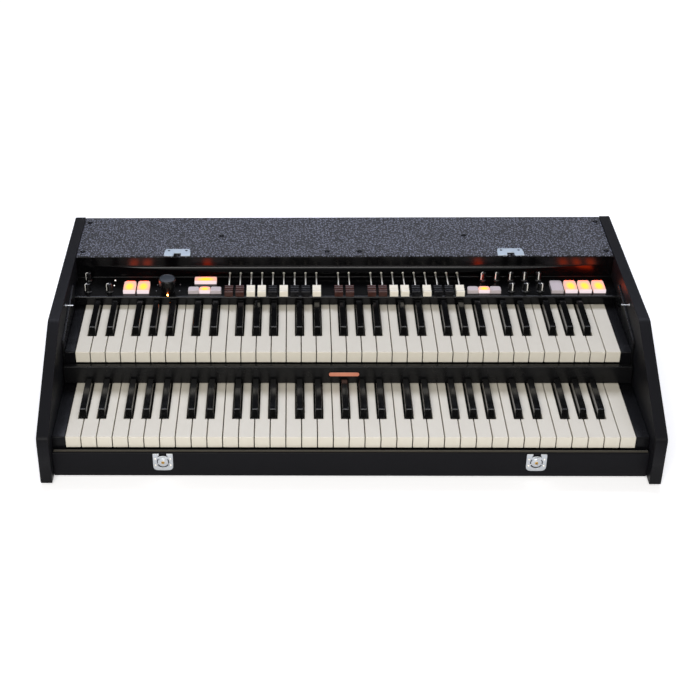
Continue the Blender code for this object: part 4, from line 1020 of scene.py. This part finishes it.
def keyboard(prefix, lip, top):
    """All keys of one keyboard and the bars that they hang on."""
    sets = {kind: "%s_%s" % (prefix, kind) for kind in ("naturals_cegb", "naturals_dfa", "sharps")}
    heights = [top - 0.0045 - level * 0.0095 for level in range(3)]
    arms = [[], [], []]
    for number, (letter, head, tail) in enumerate(naturals, 1):
        outer = letter in "CEGB"
        back = lip + (0.184 if outer else 0.168)
        name = "%s_key_%02d_%s" % (prefix, number, letter.lower())
        node = sets["naturals_cegb" if outer else "naturals_dfa"]
        piece(name, natural_mesh(head, tail, lip, back, top), ivory_abs, node, edge=0.0009,
              steps=3, stands_for=[node])
        if not outer:
            arms[1].append(arm_mesh(sum(tail) / 2, back - 0.004, lip + 0.183, top - 0.0035,
                                    heights[1]))
    for number, middle in enumerate(sharps, 1):
        name = "%s_sharp_%02d" % (prefix, number)
        piece(name, sharp_mesh(middle, lip, top), ebony_abs, sets["sharps"], edge=0.0010, steps=4,
              stands_for=[sets["sharps"]])
        arms[2].append(arm_mesh(middle, lip + 0.1345, lip + 0.183, top - 0.0035, heights[2]))
    for level, (kind, node) in enumerate(sets.items()):
        shade = ebony_abs if kind == "sharps" else ivory_abs
        piece(node + "_bar", gathered([bar_mesh(lip, heights[level]), *arms[level]]), shade, node,
              edge=0.0004, stands_for=[node])


keyboard("lower", lower_lip, lower_top)
keyboard("upper", upper_lip, upper_top)

# %% [markdown]
# ## Control panel
# The panel is one sheet of steel, folded twice: a lip over the keys, the flat that carries the
# controls and an upright wall. A flat steel strip above the wall covers the board's front edge.
# One profile with small radii gives the sheet. Wall and strip stand nearly flush, so both mirror
# the lit buttons: the strip their tops, the wall their backs. The wells of the buttons and the
# holes of the drawbar rods are then cut by a Boolean, because they go through different faces.
# Weighted normals keep the big flat faces flat in the gloss, so that only the folds bend the
# reflections.

# %% Folded panel, cut for buttons and rods
low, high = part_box("control_panel")
panel_front, panel_top, wall_front, wall_top = low.y, 0.135, high.y - 0.0061, high.z
gauge, fit = 0.003, 0.0004
under = panel_top - gauge
strip_front, strip_back, strip_top = board_front - 0.0023, board_front - 0.0014, board_top - 0.0008
profile = fillet([(panel_front, low.z), (panel_front + gauge, low.z),
                  (panel_front + gauge, under, 0.0012), (wall_front + gauge, under, 0.003),
                  (wall_front + gauge, wall_top), (wall_front, wall_top),
                  (wall_front, panel_top, 0.0008), (panel_front, panel_top, 0.003)], steps=6)
rows = {}
for name in frame["nodes"]:
    if name.startswith("button_"):
        rows.setdefault(name.rsplit("_", 1)[0], []).append(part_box(name))
wells = []
for corners in rows.values():
    start = Vector([min(c[0][k] for c in corners) for k in range(3)])
    end = Vector([max(c[1][k] for c in corners) for k in range(3)])
    wells.append(block((start.x - fit, start.y - fit, under - 0.002),
                       (end.x + fit, end.y + fit, panel_top + 0.002)))
drawbars = sorted(name for name in frame["nodes"] if name.startswith("drawbar_"))
cap_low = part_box(drawbars[0])[0].z
rod_z = cap_low + 0.007
bores = [plate([circle((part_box(name)[0].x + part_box(name)[1].x) / 2, rod_z, 0.0016, 16)],
               wall_front - 0.002, wall_front + 0.008, "Y") for name in drawbars]
sheet = plate([profile], low.x, high.x, "X")
sheet = carved(carved(sheet, gathered(wells)), gathered(bores))
panel = piece("control_panel_sheet", sheet, stove_enamel, stands_for=["control_panel"])
weigh = panel.modifiers.new("flat_faces_stay_flat", "WEIGHTED_NORMAL")
weigh.keep_sharp = True
piece("edge_strip", block((low.x, strip_front, wall_top - 0.0004), (high.x, strip_back, strip_top)),
      stove_enamel, edge=0.0004, steps=3)
print(len(wells), "wells and", len(bores), "rod holes in the panel")

# %% [markdown]
# ## Drawbars
# A drawbar is a moulded cap on a plated rod, which slides through a bushing in the wall. The cap
# is a profile with two hollows for the finger and a crest between them, rounded at every corner.
# Its colour tells which pipe rank it stands for: brown, white or black. Each cap and rod ride on
# their own body, and the bushing stays with the cabinet.

# %% Caps, rods and bushings
def drawbar(name):
    """Cap and rod of one drawbar, in the colour of its slot, and its bushing."""
    start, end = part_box(name)
    x = (start.x + end.x) / 2
    front, back, low, high = start.y, start.y + 0.022, start.z, start.z + 0.0098
    hollow, crest, middle = high - 0.0016, high - 0.0003, start.y + 0.011
    outline = fillet([(front, low, 0.0006), (back, low), (back, high, 0.0009),
                      (back - 0.003, high, 0.0008), (back - 0.0058, hollow, 0.0009),
                      (middle + 0.0016, hollow, 0.0006), (middle, crest, 0.0005),
                      (middle - 0.0016, hollow, 0.0006), (front + 0.0058, hollow, 0.0009),
                      (front + 0.0022, crest, 0.0008), (front + 0.0010, high - 0.0012, 0.0008)],
                     steps=3)
    piece(name + "_cap", plate([outline], x - 0.0067, x + 0.0067, "X"), cap_abs[slot_of[name]],
          name, edge=0.0007, steps=3, stands_for=[name])
    rod = lathe([(0, 0), (1.1, 0), (1.1, 73.5), (0.9, 73.8), (0, 73.8)], 24)
    rod.transform(Matrix.Translation((x, back - 0.003, rod_z)) @ TO_THE_BACK)
    piece(name + "_rod", rod, nickel, name)
    bushing = lathe([(1.2, -3), (1.2, 1.2), (1.4, 1.5), (1.7, 1.3), (1.9, 0.7), (1.9, 0)], 28,
                    (x, wall_front, rod_z), "Y")
    piece(name + "_bushing", bushing, nickel)


for name in drawbars:
    drawbar(name)
print(len(drawbars), "drawbars")

# %% [markdown]
# ## Knobs
# The small knobs are turned shapes with a flange at the foot and fine flutes for grip. The flutes
# are a ripple in the radius of each ring. A white line runs over the top and down one side, so
# the player sees the setting. The selector is larger, widens to its top and carries a grey
# insert. It has no line, because lamps around it show its place.

# %% Small knobs and the selector
small_rings = [(0, 16), (3.4, 16), (4.2, 15.8), (4.7, 15.4), (4.9, 14.8, 0.2), (5, 3.4, 0.2),
               (5.1, 2.8), (5.7, 2.2), (6.3, 1.9), (6.5, 1.5), (6.5, 0.4), (3, 0.3), (3, -4),
               (0, -4)]


def small_knob(name, pointing_deg):
    """Fluted knob with its pointer line, on its own body."""
    start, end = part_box(name)
    spot = ((start.x + end.x) / 2, (start.y + end.y) / 2, panel_top)
    piece(name + "_grip", lathe(small_rings, 72, spot, flutes=24), knob_abs, name,
          stands_for=[name])
    line = gathered([block((0.0010, -0.0008, 0.0156), (0.0045, 0.0008, 0.01612)),
                     block((0.0046, -0.0008, 0.0036), (0.00518, 0.0008, 0.0154))])
    line.transform(Matrix.Translation(spot) @ spin(pointing_deg, "Z"))
    piece(name + "_line", line, white_filler, name)


pointing = {"knob_left_back": 215, "knob_left_front_1": 222, "knob_left_front_2": 208}
small_knobs = sorted(name for name in frame["nodes"] if name.startswith("knob_"))
for number, name in enumerate(small_knobs):
    small_knob(name, pointing.get(name, 205 + 9 * number))
start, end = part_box("selector_knob")
spot = Vector(((start.x + end.x) / 2, (start.y + end.y) / 2, panel_top))
rings = [(0, 24.6), (12.1, 24.6), (12.3, 24.9), (12.9, 25), (13.5, 24.7), (13.9, 24.1),
         (14, 23.3, 0.3), (13.9, 15.5, 0.3), (13.6, 14.6), (10.7, 1.2), (10.5, 0.3), (3, 0.3),
         (3, -4), (0, -4)]
piece("selector_grip", lathe(rings, 144, spot, flutes=36), knob_abs, "selector_knob",
      stands_for=["selector_knob"])
insert = lathe([(0, 25), (11.2, 25), (12, 24.8), (12, 24.3), (0, 24.3)], 72, spot)
piece("selector_insert", insert, grey_abs, "selector_knob")
print("selector at", [round(v, 4) for v in spot])

# %% [markdown]
# ## Lamp buttons and small lamps
# The buttons are milky caps with rounded far corners, standing a few millimetres out of their
# wells. Lit and unlit caps are the same mould, and only the lamp below differs, so both have the
# same shape and two materials. Around the selector and beside the knobs stand small domed lamps
# of epoxy.

# %% Buttons and lamps
corner_radius = {"button_tab_left": 0.0042, "button_tab_right": 0.0042, "button_trio_left": 0.0046,
                 "button_trio_right": 0.0046, "button_wide": 0.0024}
for name in sorted(frame["nodes"]):
    if name.startswith("button_"):
        start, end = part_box(name)
        round_far = corner_radius[name.rsplit("_", 1)[0]]
        shape = fillet([(start.x, start.y, 0.0008), (end.x, start.y, 0.0008),
                        (end.x, end.y, round_far), (start.x, end.y, round_far)], steps=6)
        lit = slot_of[name] == "lens_lit"
        piece(name + "_cap", plate([shape], start.z, end.z), lit_acrylic if lit else unlit_acrylic_painted_glow,
              name, edge=0.0011, steps=4, stands_for=[name])


def dome(name, x, y, radius, height, material):
    """Small epoxy lamp standing in the panel; its radius and height are in mm."""
    rings = [(0, height), (0.45 * radius, 0.95 * height), (0.8 * radius, 0.76 * height),
             (0.97 * radius, 0.5 * height), (radius, 0.3 * height), (radius, -1), (0, -1)]
    piece(name, lathe(rings, 24, (x, y, panel_top)), material)


dome("selector_lamp_lit", spot.x + 0.0005, spot.y - 0.0124, 1.3, 2.4, amber_epoxy)
for number, (dx, dy) in enumerate(((-0.0185, 0.0215), (-0.0190, 0.0015), (0.0190, 0.0225),
                                   (0.0190, 0.0020)), 1):
    dome("selector_lamp_%d" % number, spot.x + dx, spot.y + dy, 1.3, 1.4, clear_epoxy)
dome("panel_lamp_1", -0.3785, 0.1138, 1.2, 1.2, white_epoxy)
dome("panel_lamp_2", -0.3785, 0.0970, 1.1, 1.0, white_epoxy)
print("buttons and lamps made")

# %% [markdown]
# ## Lid pins
# The lid, which is off here, rests on two steel pins that stand out of the cheeks above the keys.

# %% Lid pins
PIN_REACH = 12.5  # mm
for side, label in SIDES:
    pin = lathe([(0, PIN_REACH), (0.6, 12.4), (0.9, 12.1), (0.9, 0.6), (2.2, 0.4), (2.4, -0.2),
                 (0, -0.2)], 24)
    pin.transform(Matrix.Translation((side * inner, -0.012, 0.162)) @ spin(-90 * side, "Y"))
    piece("lid_pin_" + label, pin, stamped)
print("pins reach", round(inner - PIN_REACH / 1000, 4))
